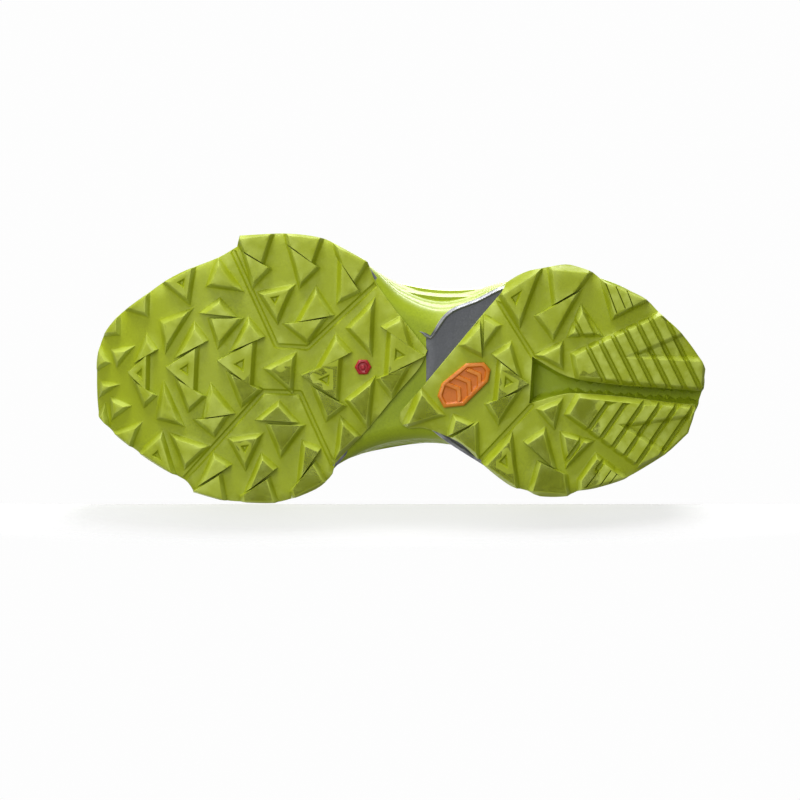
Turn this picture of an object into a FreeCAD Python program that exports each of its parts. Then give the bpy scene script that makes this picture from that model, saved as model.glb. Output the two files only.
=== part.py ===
import FreeCAD, Part
import math
import os
from FreeCAD import Placement, Rotation, Vector

# Left trail-running shoe, upright. +X lateral, -X medial, -Y toe, +Y heel, +Z up, ground at z = 0.
# Origin: under the middle of the footprint box. Millimetres.

doc = FreeCAD.newDocument("trail_running_shoe")

DIMENSIONS = [
    ("overall_length", 295.0, "toe tip to heel end"),
    ("lug_depth", 4.0, "height of the tread lugs"),
    ("rubber_base", 2.5, "thickness of the outsole rubber under the lugs"),
    ("toe_spring", 24.0, "rise of the tread at the toe tip"),
    ("heel_spring", 9.0, "rise of the tread at the heel end"),
    ("spring_start_toe", -85.0, "Y where the toe begins to rise"),
    ("spring_start_heel", 95.0, "Y where the heel begins to rise"),
    ("plate_cover", 1.2, "foam under the plate between the pods"),
    ("plate_thickness", 1.6, "moulded shank plate"),
    ("board_thickness", 2.0, "strobel board"),
    ("sockliner_thickness", 4.5, "removable footbed"),
    ("skin_gap", 0.25, "clearance between the upper's layers"),
    ("lining_thickness", 0.8, "inner textile"),
    ("stiffener_thickness", 1.0, "toe puff and heel counter"),
    ("mesh_thickness", 1.2, "outer textile"),
    ("overlay_thickness", 1.4, "moulded and welded overlays"),
    ("collar_pad", 6.0, "how far the collar foam stands into the shoe"),
    ("tongue_thickness", 6.0, "padded tongue"),
    ("eyelet_outer", 2.9, "radius of an eyelet's barrel"),
    ("eyelet_bore", 2.0, "radius of an eyelet's hole"),
    ("eyelet_flange", 4.2, "radius of an eyelet's flange"),
    ("flange_thickness", 0.8, "thickness of an eyelet's flange"),
    ("lace_width", 5.0, "flat lace"),
    ("lace_thickness", 1.3, "flat lace"),
    ("aglet_length", 18.0, "lace tip"),
    ("aglet_radius", 1.4, "lace tip"),
    ("plug_radius", 3.9, "hexagonal wear plug, across corners / 2"),
    ("plug_depth", 1.6, "hexagonal wear plug"),
    ("badge_depth", 2.2, "octagonal outsole badge"),
    ("toe_tab_width", 15.0, "tab on the toe bumper"),
    ("toe_tab_depth", 2.0, "tab on the toe bumper"),
    ("tab_width", 16.0, "webbing of the heel pull tab"),
]


def make_sheet():
    sheet = doc.addObject("Spreadsheet::Sheet", "dimensions")
    for row, (alias, value, note) in enumerate(DIMENSIONS, start=1):
        sheet.set(f"A{row}", note)
        sheet.set(f"B{row}", str(value))
        sheet.setAlias(f"B{row}", alias)
    doc.recompute()
    return sheet


dimensions = make_sheet()


def dim(alias):
    return float(dimensions.get(alias))


LUG = dim("lug_depth")
BASE = dim("rubber_base")
FOAM_BOTTOM = LUG + BASE
GAP = dim("skin_gap")

# Offsets of the upper's layers, outward from the foot's surface.
LINING_OUT = dim("lining_thickness")
STIFFENER_IN = LINING_OUT + GAP
STIFFENER_OUT = STIFFENER_IN + dim("stiffener_thickness")
MESH_IN = STIFFENER_OUT + GAP
MESH_OUT = MESH_IN + dim("mesh_thickness")
OVERLAY_IN = MESH_OUT + GAP
OVERLAY_OUT = OVERLAY_IN + dim("overlay_thickness")

nodes = []


def node(obj, label):
    """Names a finished sub-part; its label is its file's name."""
    obj.Label = label
    nodes.append(obj)
    return obj


def shape_node(shape, label):
    """A freeform sub-part, for shapes that neither sketches nor primitives can hold."""
    obj = doc.addObject("Part::Feature", label)
    obj.Shape = shape
    return node(obj, label)


# ---------------------------------------------------------------- ground line and flat outlines

def ground(y):
    """Height of the tread's contact line above the floor: flat, with a toe spring and a heel spring."""
    toe, heel = dim("spring_start_toe"), dim("spring_start_heel")
    half = dim("overall_length") / 2
    if y < toe:
        return dim("toe_spring") * ((toe - y) / (half + toe)) ** 1.8
    if y > heel:
        return dim("heel_spring") * ((y - heel) / (half - heel)) ** 1.7
    return 0.0


def along(table, y):
    """Smooth value at y from a short list of (y, value), with no overshoot between points."""
    if y <= table[0][0]:
        return table[0][1]
    if y >= table[-1][0]:
        return table[-1][1]
    i = max(k for k in range(len(table) - 1) if table[k][0] <= y)

    def rate(k):
        return (table[k + 1][1] - table[k][1]) / (table[k + 1][0] - table[k][0])

    def tangent(k):
        if k == 0:
            return rate(0)
        if k == len(table) - 1:
            return rate(k - 1)
        before, after = rate(k - 1), rate(k)
        return 0.0 if before * after <= 0 else 2 * before * after / (before + after)

    (y0, v0), (y1, v1) = table[i], table[i + 1]
    width = y1 - y0
    f = (y - y0) / width
    start = v0 * (2 * f**3 - 3 * f * f + 1) + tangent(i) * width * (f**3 - 2 * f * f + f)
    return start + v1 * (3 * f * f - 2 * f**3) + tangent(i + 1) * width * (f**3 - f * f)


def corner_wire(points, z=0.0):
    """A closed straight-sided outline; points are (y, x) pairs."""
    ring = [Vector(x, y, z) for y, x in points]
    return Part.makePolygon(ring + ring[:1])


def smooth_wire(points, z=0.0):
    """A closed smooth outline; points are (y, x) pairs."""
    curve = Part.BSplineCurve()
    curve.interpolate([Vector(x, y, z) for y, x in points], PeriodicFlag=True)
    return Part.Wire([curve.toShape()])


def side_slab(low, high, start=-152.0, end=152.0, steps=60):
    """A full-width slab between two heights given as functions of Y."""
    half_width = 80.0
    ys = [start + (end - start) * i / steps for i in range(steps + 1)]
    bottom = Part.BSplineCurve()
    bottom.interpolate([Vector(-half_width, y, low(y)) for y in ys])
    top = Part.BSplineCurve()
    top.interpolate([Vector(-half_width, y, high(y)) for y in ys])
    ends = [
        Part.makeLine(Vector(-half_width, y, low(y)), Vector(-half_width, y, high(y)))
        for y in (ys[0], ys[-1])
    ]
    wire = Part.Wire([bottom.toShape(), ends[1], top.toShape(), ends[0]])
    return Part.Face(wire).extrude(Vector(2 * half_width, 0, 0))


def curved_plate(wire, low, high):
    """An outline cut out of a side slab: a plate that follows the shoe's side profile."""
    column = Part.Face(wire).extrude(Vector(0, 0, 90))
    return column.common(side_slab(low, high))


# ---------------------------------------------------------------- outsole

FOREFOOT_POD = [
    (12, 8.5), (-11.5, 39.5), (-16, 51), (-30, 58.5), (-38.5, 62), (-54.5, 64), (-76.5, 63),
    (-79, 57.5), (-103, 46.5), (-121, 35.5), (-136.5, 24), (-143.5, 15.5), (-147.5, -1.5),
    (-147.5, -14.5), (-146.5, -24), (-138.5, -32.5), (-125.5, -41.5), (-102, -55), (-99.5, -59),
    (-84, -63), (-60.5, -64), (-53, -62.5), (-36.5, -54), (-33, -50.5), (-31.5, -45.5), (-16, -29),
    (8.5, 0.5),
]
HEEL_POD = [
    (50.5, 41), (61.5, 46.5), (78.5, 49.5), (91.5, 45.5), (117, 33), (134.5, 16), (146, -1),
    (143, -11), (83, -4.5), (62.5, 5.5), (61, -17), (83, -12), (140.5, -18), (141, -19.5),
    (138, -31), (122.5, -44.5), (106.5, -53), (85, -58.5), (79.5, -61), (66.5, -61), (52.5, -56),
    (37, -41), (21, -32), (11, -28.5), (3.5, -28.5), (-0.5, -24), (0, -21), (21.5, 4.5),
    (44.5, 31.5),
]
DECOUPLING_GROOVE = [(62.5, 5.5), (83, -4.5), (152, -11.5), (152, -18.5), (83, -12), (61, -17)]

# Tread lugs, each by the corners of its top at mid height, (y, x). Neighbours in one row of
# the list that nearly touch are halves of one block, parted by a sipe.
FOREFOOT_LUGS = [
    # lateral edge blocks and their inner halves
    [(-77.5, 62), (-61.5, 64), (-66, 50.5), (-75, 56)], [(-74.5, 55), (-62.5, 48), (-70.5, 40)],
    [(-54.5, 63.5), (-38, 62), (-42, 50.5), (-53.5, 59)], [(-53, 58), (-39.5, 48.5), (-48, 40)],
    [(-31, 58), (-16, 51), (-22, 41), (-29, 51)], [(-29, 51), (-20, 37), (-29.5, 32.5)],
    [(-67, 36), (-52, 39), (-59, 23)], [(-40.5, 37.5), (-33, 25.5), (-49, 22.5)],
    [(-55, 21.5), (-36.5, 24), (-44.5, 13)], [(-13.5, 31.5), (-25, 19.5), (-14.5, 8)],
    # rear centre, the trio that points at the waist, and its neighbours
    [(-8.5, 19.5), (0, 24), (4.5, 10.5)], [(-5.5, 17.5), (11, 6), (-7, -3)],
    [(-11, -4.5), (3.5, 1.5), (-4.5, -13)], [(-13.5, -5.5), (-25.5, -15), (-16, -27.5)],
    [(-28.5, -24.5), (-20.5, -32.5), (-30.5, -41.5)],
    # centre column, trios that point at the toe
    [(-31, 15), (-24.5, 7.5), (-39.5, 0)], [(-47.5, -3), (-29, 5), (-30.5, -14.5)],
    [(-41.5, -9), (-27, -17.5), (-35.5, -24)], [(-51, 6.5), (-64, 0), (-52.5, -10)],
    [(-72.5, 23), (-66, 15), (-80, 9)], [(-87.5, 4), (-70, 13), (-71.5, -8.5)],
    [(-82, -2), (-67.5, -10), (-76, -17)],
    [(-98.5, 20.5), (-93, 13), (-106.5, 6)], [(-112.5, 0.5), (-97.5, 10), (-98.5, -11)],
    [(-107.5, -5), (-94, -13), (-101.5, -19.5)],
    [(-122, 14.5), (-117.5, 8.5), (-127, 3)], [(-131.5, -2.5), (-121.5, 6.5), (-122, -11.5)],
    [(-128, -7), (-118, -13), (-123.5, -18)],
    # lateral front
    [(-86.5, 32.5), (-94.5, 26.5), (-80, 25)], [(-91, 24), (-76.5, 24), (-87, 11.5)],
    [(-87, 51), (-91.5, 40), (-77, 38)], [(-112.5, 41), (-99, 48.5), (-101.5, 32)],
    [(-131.5, 28), (-121.5, 35), (-122, 25.5)], [(-143, 15.5), (-136.5, 24), (-136.5, 16)],
    [(-114.5, 22), (-101.5, 27), (-112.5, 9.5)], [(-139.5, 7.5), (-130.5, 9), (-137, 1)],
    # toe edge
    [(-146, 8), (-142, 2), (-147, -1)], [(-145, -8.5), (-138, -9), (-145.5, -13.5)],
    [(-140, -16), (-132, -19), (-139.5, -24.5)], [(-146.5, -24.5), (-144, -20.5), (-142.5, -29.5)],
    # medial front
    [(-138.5, -32), (-126.5, -28), (-130.5, -38)], [(-125.5, -41), (-115, -32), (-109, -51)],
    [(-113.5, -8.5), (-105.5, -26.5), (-116.5, -24)], [(-109.5, -32.5), (-93.5, -37.5), (-103.5, -47)],
    [(-90.5, -9), (-80.5, -21.5), (-94, -23.5)], [(-98, -24.5), (-83.5, -22.5), (-89.5, -31.5)],
    [(-58.5, -16.5), (-68, -24.5), (-50.5, -25.5)], [(-63.5, -26.5), (-47, -27), (-57.5, -41)],
    [(-81.5, -34), (-67.5, -32), (-74.5, -47)],
    # medial edge blocks and their inner halves
    [(-89.5, -41.5), (-82, -46.5), (-95.5, -55)], [(-99, -58), (-86.5, -50.5), (-84.5, -62.5)],
    [(-66.5, -42), (-60, -48), (-73.5, -58.5)], [(-76, -60.5), (-63.5, -52.5), (-60, -63)],
    [(-46.5, -35.5), (-39, -39), (-48.5, -53)], [(-52.5, -58), (-41.5, -45), (-36.5, -54), (-51.5, -61)],
]
HEEL_LUGS = [
    [(10, -11), (19.5, -22), (3, -27)], [(37.5, 21), (29, 11.5), (38.5, 6.5)],
    [(39.5, 24.5), (46.5, 20.5), (39.5, 11)], [(47.5, 35), (66, 45), (56.5, 21.5)],
    [(71, 45.5), (90, 45), (84, 37.5), (73, 31)], [(64.5, 25.5), (84.5, 36.5), (72.5, 15)],
    [(86, 29), (94.5, 16.5), (80.5, 16)], [(76.5, 12), (66, 6.5), (76.5, 1)],
    [(44, 6.5), (52, 11.5), (56.5, -3.5)], [(47, 3.5), (60.5, -7), (45, -15.5)],
    [(41, -16.5), (56, -11), (46.5, -25.5)], [(25.5, -23), (33.5, -26.5), (23.5, -31.5)],
    [(25, -32.5), (36, -26), (36.5, -40.5)], [(52.5, -32.5), (40, -46.5), (55.5, -56)],
    [(68.5, -29.5), (59.5, -35.5), (73.5, -48)], [(66, -44.5), (62, -57.5), (80.5, -59.5), (78.5, -50.5)],
    [(77, -31), (90.5, -35), (79.5, -46)], [(76, -15.5), (66, -19.5), (73, -27.5)],
    [(96, 41), (117, 33), (101, 24.5)], [(93.5, -41.5), (107.5, -52.5), (85.5, -58), (85.5, -53)],
]
# Braking ribs on the heel, in a row beside the groove:
# (first corner, drift of the row in x, rib direction, step between ribs, rib lengths)
LATERAL_RIBS = ((95, -3), -1.0, (-0.45, 0.89), 7.4, (9, 15, 21, 26, 22, 22, 14))
MEDIAL_RIBS = ((98, -16), -0.9, (-0.57, -0.82), 8.7, (16, 24, 30, 32, 26))
RIB_WIDTH = 3.6


LUG_TIP_INSET = 1.4
LUG_ROOT_OUTSET = 0.6
LUG_OVERLAP = 0.6


def moved_corners(corners, inset):
    """The corners of a lug moved towards its middle by inset."""
    middle_y = sum(c[0] for c in corners) / len(corners)
    middle_x = sum(c[1] for c in corners) / len(corners)
    moved = []
    for y, x in corners:
        share = 1 - inset / math.hypot(y - middle_y, x - middle_x)
        moved.append((middle_y + (y - middle_y) * share, middle_x + (x - middle_x) * share))
    return moved


def lug(corners):
    """A flat-topped pyramid standing down from the rubber base to the ground line."""
    front, back = min(c[0] for c in corners), max(c[0] for c in corners)
    tilt = (ground(back) - ground(front)) / (back - front)

    def ring(points, rise):
        line = [Vector(x, y, ground(front) + tilt * (y - front) + rise) for y, x in points]
        return Part.makePolygon(line + line[:1])

    tip = ring(moved_corners(corners, LUG_TIP_INSET), 0.0)
    root = ring(moved_corners(corners, -LUG_ROOT_OUTSET), LUG + LUG_OVERLAP)
    return Part.makeLoft([tip, root], True, True)


def rib_corners(first, drift, direction, step, lengths):
    """Parallel ribs in a row towards the heel, each a four-sided lug."""
    ribs = []
    for i, length in enumerate(lengths):
        y, x = first[0] + i * step, first[1] + i * drift
        far_y, far_x = y + direction[0] * length, x + direction[1] * length
        ribs.append([(y, x), (far_y, far_x), (far_y + RIB_WIDTH, far_x), (y + RIB_WIDTH, x)])
    return ribs


def outsole_pod(outline, lugs):
    """Rubber base that follows the ground line, with its lugs moulded on."""
    base = curved_plate(corner_wire(outline), lambda y: ground(y) + LUG, lambda y: ground(y) + FOAM_BOTTOM)
    return base.multiFuse([lug(corners) for corners in lugs]).removeSplitter().Solids[0]


# ---------------------------------------------------------------- midsole

MIDSOLE_FOOT = [
    (146, -3), (133, 17), (112, 36), (90, 45), (70, 47.5), (50, 40.5), (34, 29), (18, 25), (0, 33),
    (-16, 50), (-40, 61), (-65, 63), (-92, 50.5), (-120, 35), (-140, 18), (-146.5, -6), (-144, -26),
    (-124, -41.5), (-98, -58), (-70, -63.5), (-46, -60), (-30, -46), (-8, -35), (16, -33), (36, -41),
    (58, -57.5), (80, -60), (106, -53), (128, -40), (142, -21),
]
MIDSOLE_RIM = [
    (146, -4), (136, 15), (116, 31), (93, 40), (70, 41), (50, 40), (32, 38), (14, 39), (-5, 43.5),
    (-24, 49), (-44, 53), (-66, 53.5), (-90, 45.5), (-114, 32), (-134, 14), (-146, -6), (-142, -25),
    (-124, -39.5), (-100, -49), (-74, -53), (-50, -53), (-28, -48.5), (-6, -43.5), (14, -41.5),
    (35, -42.5), (57, -45), (80, -47), (105, -46), (128, -37), (142, -21),
]
FOAM_TOP = [(-152, 47), (-135, 46), (-100, 40), (-60, 38.5), (-10, 41), (40, 45), (90, 49), (130, 53), (152, 55)]


def foam_bottom(y):
    """Underside of the foam, level with the top of the rubber."""
    return ground(y) + FOAM_BOTTOM


# ---------------------------------------------------------------- the foot's surface

FEATHER_HEIGHT = [(-150, 34.5), (-135, 33.5), (-110, 29.5), (-75, 28), (-30, 30), (30, 34), (90, 37.5), (150, 38)]

# Stations round the shoe, from the centre of the heel along the lateral side, round the toe and
# back along the medial side: (feather x, y), (topline x, y, z), handle out, handle down.
STATIONS = [
    ((-6, 137.5), (-5, 135, 119), 5, 24),
    ((13, 128), (9, 130, 117), 5, 24),
    ((26, 107), (19, 112, 110), 5, 22),
    ((32, 80), (26, 86, 101), 5, 20),
    ((31, 48), (27, 58, 100), 6, 18),
    ((30, 18), (22, 34, 104), 9, 14),
    ((36, -12), (15.5, 12, 101), 12, 9),
    ((45, -42), (13, -14, 93), 14, 7),
    ((45, -70), (11.5, -38, 85), 15, 6),
    ((37, -89), (9, -56, 79.5), 18, 6),
    ((24.5, -112), (4.5, -66, 76.5), 26, 7),
    ((5, -130.5), (-0.5, -69, 75.5), 34, 8),
    ((-12, -137), (-4, -69.5, 75.5), 36, 8),
    ((-30, -122), (-8, -67, 76.5), 28, 7),
    ((-41, -99), (-11.5, -58, 79), 19, 6),
    ((-45, -74), (-13.5, -40, 85), 14, 6),
    ((-45, -45), (-15, -15, 93), 13, 7),
    ((-37, -15), (-18, 11, 101), 11, 9),
    ((-32.5, 15), (-25, 33, 104), 8, 14),
    ((-34, 45), (-30, 57, 100), 6, 18),
    ((-38, 75), (-31, 85, 101), 5, 20),
    ((-38, 104), (-28, 111, 110), 5, 22),
    ((-25, 128), (-18, 129, 117), 5, 24),
]
COUNT = len(STATIONS)
SPINE_X = -3.0
SPINE_TOE, SPINE_HEEL = -85.0, 95.0
FEATHER_RISE = 26.0
FEATHER_OUT = 3.0


def round_value(pick, s):
    """Smooth periodic value of one station quantity at position s, counted in stations."""
    i = math.floor(s)
    f = s - i
    a, b, c, d = (pick(STATIONS[(i + k) % COUNT]) for k in (-1, 0, 1, 2))
    return b + 0.5 * f * (c - a + f * (2 * a - 5 * b + 4 * c - d + f * (3 * (b - c) + d - a)))


def feather(s):
    x, y = (round_value(lambda row, k=k: row[0][k], s) for k in range(2))
    return Vector(x, y, along(FEATHER_HEIGHT, y))


def topline(s):
    return Vector(*(round_value(lambda row, k=k: row[1][k], s) for k in range(3)))


def outward(s):
    """Level direction away from the shoe's spine."""
    foot = feather(s)
    spine = Vector(SPINE_X, min(max(foot.y, SPINE_TOE), SPINE_HEEL), foot.z)
    direction = foot - spine
    direction.normalize()
    return direction


def skin_point(s, t):
    """A point of the foot's surface: t runs from the feather line (0) up to the topline (1)."""
    foot, top, out = feather(s), topline(s), outward(s)
    low = foot + out * FEATHER_OUT + Vector(0, 0, FEATHER_RISE)
    high = top + out * round_value(lambda row: row[2], s) - Vector(0, 0, round_value(lambda row: row[3], s))
    r = 1 - t
    return foot * r**3 + low * (3 * r * r * t) + high * (3 * r * t * t) + top * t**3


def skin_normal(s, t):
    """Outward normal of the foot's surface."""
    step = 0.02
    low, high = max(t - step, 0.0), min(t + step, 1.0)
    around = skin_point(s + 0.05, t) - skin_point(s - 0.05, t)
    up = skin_point(s, high) - skin_point(s, low)
    normal = up.cross(around)
    normal.normalize()
    if normal.dot(outward(s)) < 0 and normal.z < 0:
        normal = normal * -1
    return normal


def skin(s, t, offset):
    return skin_point(s, t) + skin_normal(s, t) * offset


def spline_face(rows):
    surface = Part.BSplineSurface()
    surface.interpolate(rows)
    return surface.toShape()


def thick_patch(outer, inner, columns, rows):
    """A closed solid between two surfaces, each a function of (u, v) from 0 to 1."""
    def grid(surface):
        return [[surface(i / columns, j / rows) for j in range(rows + 1)] for i in range(columns + 1)]

    outside, inside = spline_face(grid(outer)), spline_face(grid(inner))
    faces = [outside, inside]
    for edge in outside.Edges:
        middle = edge.valueAt((edge.FirstParameter + edge.LastParameter) / 2)
        partner = min(
            inside.Edges,
            key=lambda other: (other.valueAt((other.FirstParameter + other.LastParameter) / 2) - middle).Length,
        )
        faces.append(Part.makeRuledSurface(edge, partner))
    shell = Part.makeShell(faces)
    shell.sewShape()
    solid = Part.makeSolid(shell)
    if solid.Volume < 0:
        solid.reverse()
    return solid


def layer(start, end, low, high, inside, outside, columns=None):
    """A piece of the upper: stations start to end, heights low(s) to high(s), between two offsets."""
    def place(offset):
        def surface(u, v):
            s = start + (end - start) * u
            t = low(s) + (high(s) - low(s)) * v
            return skin(s, t, offset(s, t))
        return surface

    columns = columns or max(8, int((end - start) * 3))
    return thick_patch(place(outside), place(inside), columns, 10)


def level(value):
    return lambda *ignored: value


def collar_bulge(s, t):
    """0 to 1: how much the padded collar stands in, from the ankle stations round the heel."""
    position = (s + COUNT / 2) % COUNT - COUNT / 2
    side = max(0.0, min(1.0, (5.6 - abs(position)) / 2.0))
    height = max(0.0, min(1.0, (t - 0.55) / 0.25)) * max(0.0, min(1.0, (1.06 - t) / 0.2))
    return side * side * (3 - 2 * side) * height * height * (3 - 2 * height)


def lining_in(s, t):
    return -dim("collar_pad") * collar_bulge(s, t)


def lining_out(s, t):
    return lining_in(s, t) + LINING_OUT


# ---------------------------------------------------------------- throat: tongue, laces

THROAT = [(-68, 71), (-57, 77.5), (-45, 83), (-14, 94.5), (12, 103.5), (34, 110), (48, 119), (66, 137)]
THROAT_BEND = [(-68, 0.016), (-14, 0.022), (34, 0.022), (66, 0.012)]
THROAT_X = -1.5


def throat_point(y, across):
    """The tongue's outer face: a low arch over the instep; across is the distance from its middle."""
    z = along(THROAT, y)
    return Vector(THROAT_X + across, y, z - across * across * along(THROAT_BEND, y))


def throat_normal(y, across):
    a = throat_point(y + 0.5, across) - throat_point(y - 0.5, across)
    b = throat_point(y, across + 0.5) - throat_point(y, across - 0.5)
    normal = b.cross(a)
    normal.normalize()
    return normal


def throat(y, across, offset):
    return throat_point(y, across) + throat_normal(y, across) * offset


def tongue_part(start, end, inside, outside, half_width):
    """A stretch of the tongue between two offsets."""
    def place(offset):
        def surface(u, v):
            y = start + (end - start) * u
            return throat(y, half_width(y) * (2 * v - 1), offset)
        return surface

    return thick_patch(place(outside), place(inside), 14, 8)


# ---------------------------------------------------------------- sole sub-parts

def bound(obj, prop, expression):
    """Binds one property of a document object to the spreadsheet."""
    obj.setExpression(prop, expression.replace("$", "dimensions."))


def sketched_pad(name, points, plane_role, expression, both_ways=False):
    """A PartDesign body: a straight-sided sketch on one of its own planes, padded by a bound length."""
    body = doc.addObject("PartDesign::Body", name)
    sketch = body.newObject("Sketcher::SketchObject", name + "_outline")
    plane = next(f for f in body.Origin.OriginFeatures if f.Role == plane_role)
    sketch.AttachmentSupport = [(plane, "")]
    sketch.MapMode = "FlatFace"
    for (u0, v0), (u1, v1) in zip(points, points[1:] + points[:1]):
        sketch.addGeometry(Part.LineSegment(Vector(u0, v0, 0), Vector(u1, v1, 0)), False)
    pad = body.newObject("PartDesign::Pad", name + "_pad")
    pad.Profile = sketch
    pad.Midplane = both_ways
    bound(pad, "Length", expression)
    doc.recompute()
    return body


def build_outsoles():
    ribs = rib_corners(*LATERAL_RIBS) + rib_corners(*MEDIAL_RIBS)
    shape_node(outsole_pod(FOREFOOT_POD, FOREFOOT_LUGS), "forefoot_outsole")
    shape_node(outsole_pod(HEEL_POD, HEEL_LUGS + ribs), "heel_outsole")


BADGE = [(2.5, 31), (3, 39.5), (-0.5, 42.5), (-6, 41.5), (-17.5, 30), (-18.5, 20.5), (-13, 17.5), (-7, 19.5)]
PLUG_PLACE = (0.8, -18.2)


def build_sole_inserts():
    """The octagonal badge on the heel and the hexagonal wear plug on the forefoot."""
    badge = sketched_pad("outsole_badge_body", BADGE, "XY_Plane", "$badge_depth")
    badge.Placement = Placement(Vector(0, 0, LUG - dim("badge_depth")), Rotation())
    node(badge, "outsole_badge")
    plug = doc.addObject("Part::Prism", "wear_plug_prism")
    plug.Polygon = 6
    bound(plug, "Circumradius", "$plug_radius")
    bound(plug, "Height", "$plug_depth")
    along_foot = Rotation(Vector(0, 0, 1), 90)
    plug.Placement = Placement(Vector(*PLUG_PLACE, LUG - dim("plug_depth")), along_foot)
    node(plug, "wear_plug")


TOE_TAB = [(-7.5, -4), (-5.5, -5.5), (5.5, -5.5), (7.5, -4), (7.5, 4), (5.5, 5.5), (-5.5, 5.5), (-7.5, 4)]
TOE_TAB_PLACE = (-8.0, -147.3, 38.0)


def build_toe_tab():
    """A small tab let into the front of the sole at the toe."""
    tab = sketched_pad("toe_tab_body", TOE_TAB, "XZ_Plane", "$toe_tab_depth")
    tab.Placement = Placement(Vector(*TOE_TAB_PLACE) + Vector(0, dim("toe_tab_depth"), 0), Rotation())
    return node(tab, "toe_tab")


PLATE = [
    (-16, 49), (-8, 38), (2, 24), (14, 15.5), (22.5, 27), (36, 33), (50, 39.5), (64, 42), (74, 30), (74, -40),
    (64, -56), (52, -54), (40, -45), (28, -37), (20, -31.5), (6, -22), (-14, -27), (-31, -46.5), (-36, -52),
    (-52, -50), (-52, 46),
]


def plate_dive(y):
    """1 where the foam covers the plate, between the pods, and 0 where the plate shows."""
    return along([(-30, 0), (-20, 1), (4, 1), (13, 0)], y)


def plate_bottom(y):
    return foam_bottom(y) + dim("plate_cover") * plate_dive(y)


def plate_top(y):
    return plate_bottom(y) + dim("plate_thickness")


BED_ROOM = 0.15


def plate_recess():
    """The plate's bed in the foam, a little larger than the plate and open below wherever it shows."""
    bed = corner_wire(PLATE).makeOffset2D(BED_ROOM)
    floor = lambda y: plate_bottom(y) - BED_ROOM - 3 * (1 - plate_dive(y))
    return curved_plate(bed, floor, lambda y: plate_top(y) + BED_ROOM)


def build_plate():
    plate = curved_plate(corner_wire(PLATE), plate_bottom, plate_top)
    shape_node(plate.Solids[0], "shank_plate")


POCKET_OUTSET = MESH_OUT + 2.0
GROOVE_DEPTH = 5.0


def feather_wire(outset, z=0.0):
    """The feather line moved outward, as a flat outline."""
    points = []
    for i in range(2 * COUNT):
        place = feather(i / 2) + outward(i / 2) * outset
        points.append((place.y, place.x))
    return smooth_wire(points, z)


def board_top(y):
    return along(FEATHER_HEIGHT, y)


def board_bottom(y):
    return board_top(y) - dim("board_thickness")


def build_midsole(tab):
    """Foam: flared walls, a rocker underside, a pocket for the upper and a split at the heel."""
    block = Part.makeLoft([smooth_wire(MIDSOLE_FOOT, 2), smooth_wire(MIDSOLE_RIM, 58)], True, True)
    foam = block.common(side_slab(foam_bottom, lambda y: along(FOAM_TOP, y)))
    foam = foam.cut(curved_plate(feather_wire(POCKET_OUTSET), lambda y: board_bottom(y) - 0.1, level(80.0)))
    groove_top = lambda y: ground(y) + FOAM_BOTTOM + GROOVE_DEPTH
    foam = foam.cut(curved_plate(corner_wire(DECOUPLING_GROOVE), level(-1.0), groove_top))
    foam = foam.cut(plate_recess()).cut(tab.Shape)
    return shape_node(max(foam.Solids, key=lambda solid: solid.Volume), "midsole")


def build_footbed():
    """Strobel board on the foam, and the removable sockliner on the board."""
    board = curved_plate(feather_wire(-0.3), board_bottom, board_top)
    shape_node(board.Solids[0], "strobel_board")
    lift = dim("sockliner_thickness")
    liner = curved_plate(feather_wire(-1.2), lambda y: board_top(y) + GAP, lambda y: board_top(y) + GAP + lift)
    shape_node(liner.Solids[0], "sockliner")


# ---------------------------------------------------------------- upper sub-parts

LATERAL_EYELETS = [5.5 + 0.86 * i for i in range(6)]
MEDIAL_EYELETS = [17.5 - 0.86 * i for i in range(6)]
EYELET_HEIGHT = 0.90
VAMP_START, VAMP_END = 7.0, 16.0
SEAM = 0.05


def above_foam(s, rise):
    """The height t at which the upper is rise above the foam's rim."""
    low, high = 0.0, 0.9
    for _ in range(24):
        t = (low + high) / 2
        place = skin(s, t, OVERLAY_OUT)
        if place.z < along(FOAM_TOP, place.y) + rise:
            low = t
        else:
            high = t
    return high


def eyelet_axis(s):
    return skin_point(s, EYELET_HEIGHT), skin_normal(s, EYELET_HEIGHT)


def punched(solid, stations):
    """A layer with its eyelet holes cut."""
    for s in stations:
        place, normal = eyelet_axis(s)
        solid = solid.cut(Part.makeCylinder(dim("eyelet_outer") + GAP, 14, place - normal * 5, normal))
    return max(solid.Solids, key=lambda part: part.Volume)


def inside_span(stations, start, end):
    margin = 0.35
    return [s for s in stations if start - margin < s < end + margin]


def build_shell_layers():
    """Lining and outer textile, each as a forefoot piece and rear pieces."""
    eyelets = LATERAL_EYELETS + MEDIAL_EYELETS
    rear_eyelets = MEDIAL_EYELETS + [s + COUNT for s in LATERAL_EYELETS]
    spans = [
        ("vamp", VAMP_START, VAMP_END, MESH_IN, MESH_OUT, eyelets),
        ("lateral_quarter", SEAM, VAMP_START - SEAM, MESH_IN, MESH_OUT, eyelets),
        ("medial_quarter", VAMP_END + SEAM, COUNT - SEAM, MESH_IN, MESH_OUT, eyelets),
    ]
    for label, start, end, inside, outside, holes in spans:
        solid = layer(start, end, level(0.0), level(1.0), level(inside), level(outside))
        shape_node(punched(solid, inside_span(holes, start, end)), label)
    solid = layer(VAMP_START, VAMP_END, level(0.0), level(1.0), level(0.0), level(LINING_OUT))
    shape_node(punched(solid, inside_span(eyelets, VAMP_START, VAMP_END)), "vamp_lining")
    start, end = VAMP_END + SEAM, VAMP_START - SEAM + COUNT
    solid = layer(start, end, level(0.0), level(1.0), lining_in, lining_out, 60)
    shape_node(punched(solid, inside_span(rear_eyelets, start, end)), "collar_lining")


FOAM_CLEARANCE = 0.8


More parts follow.
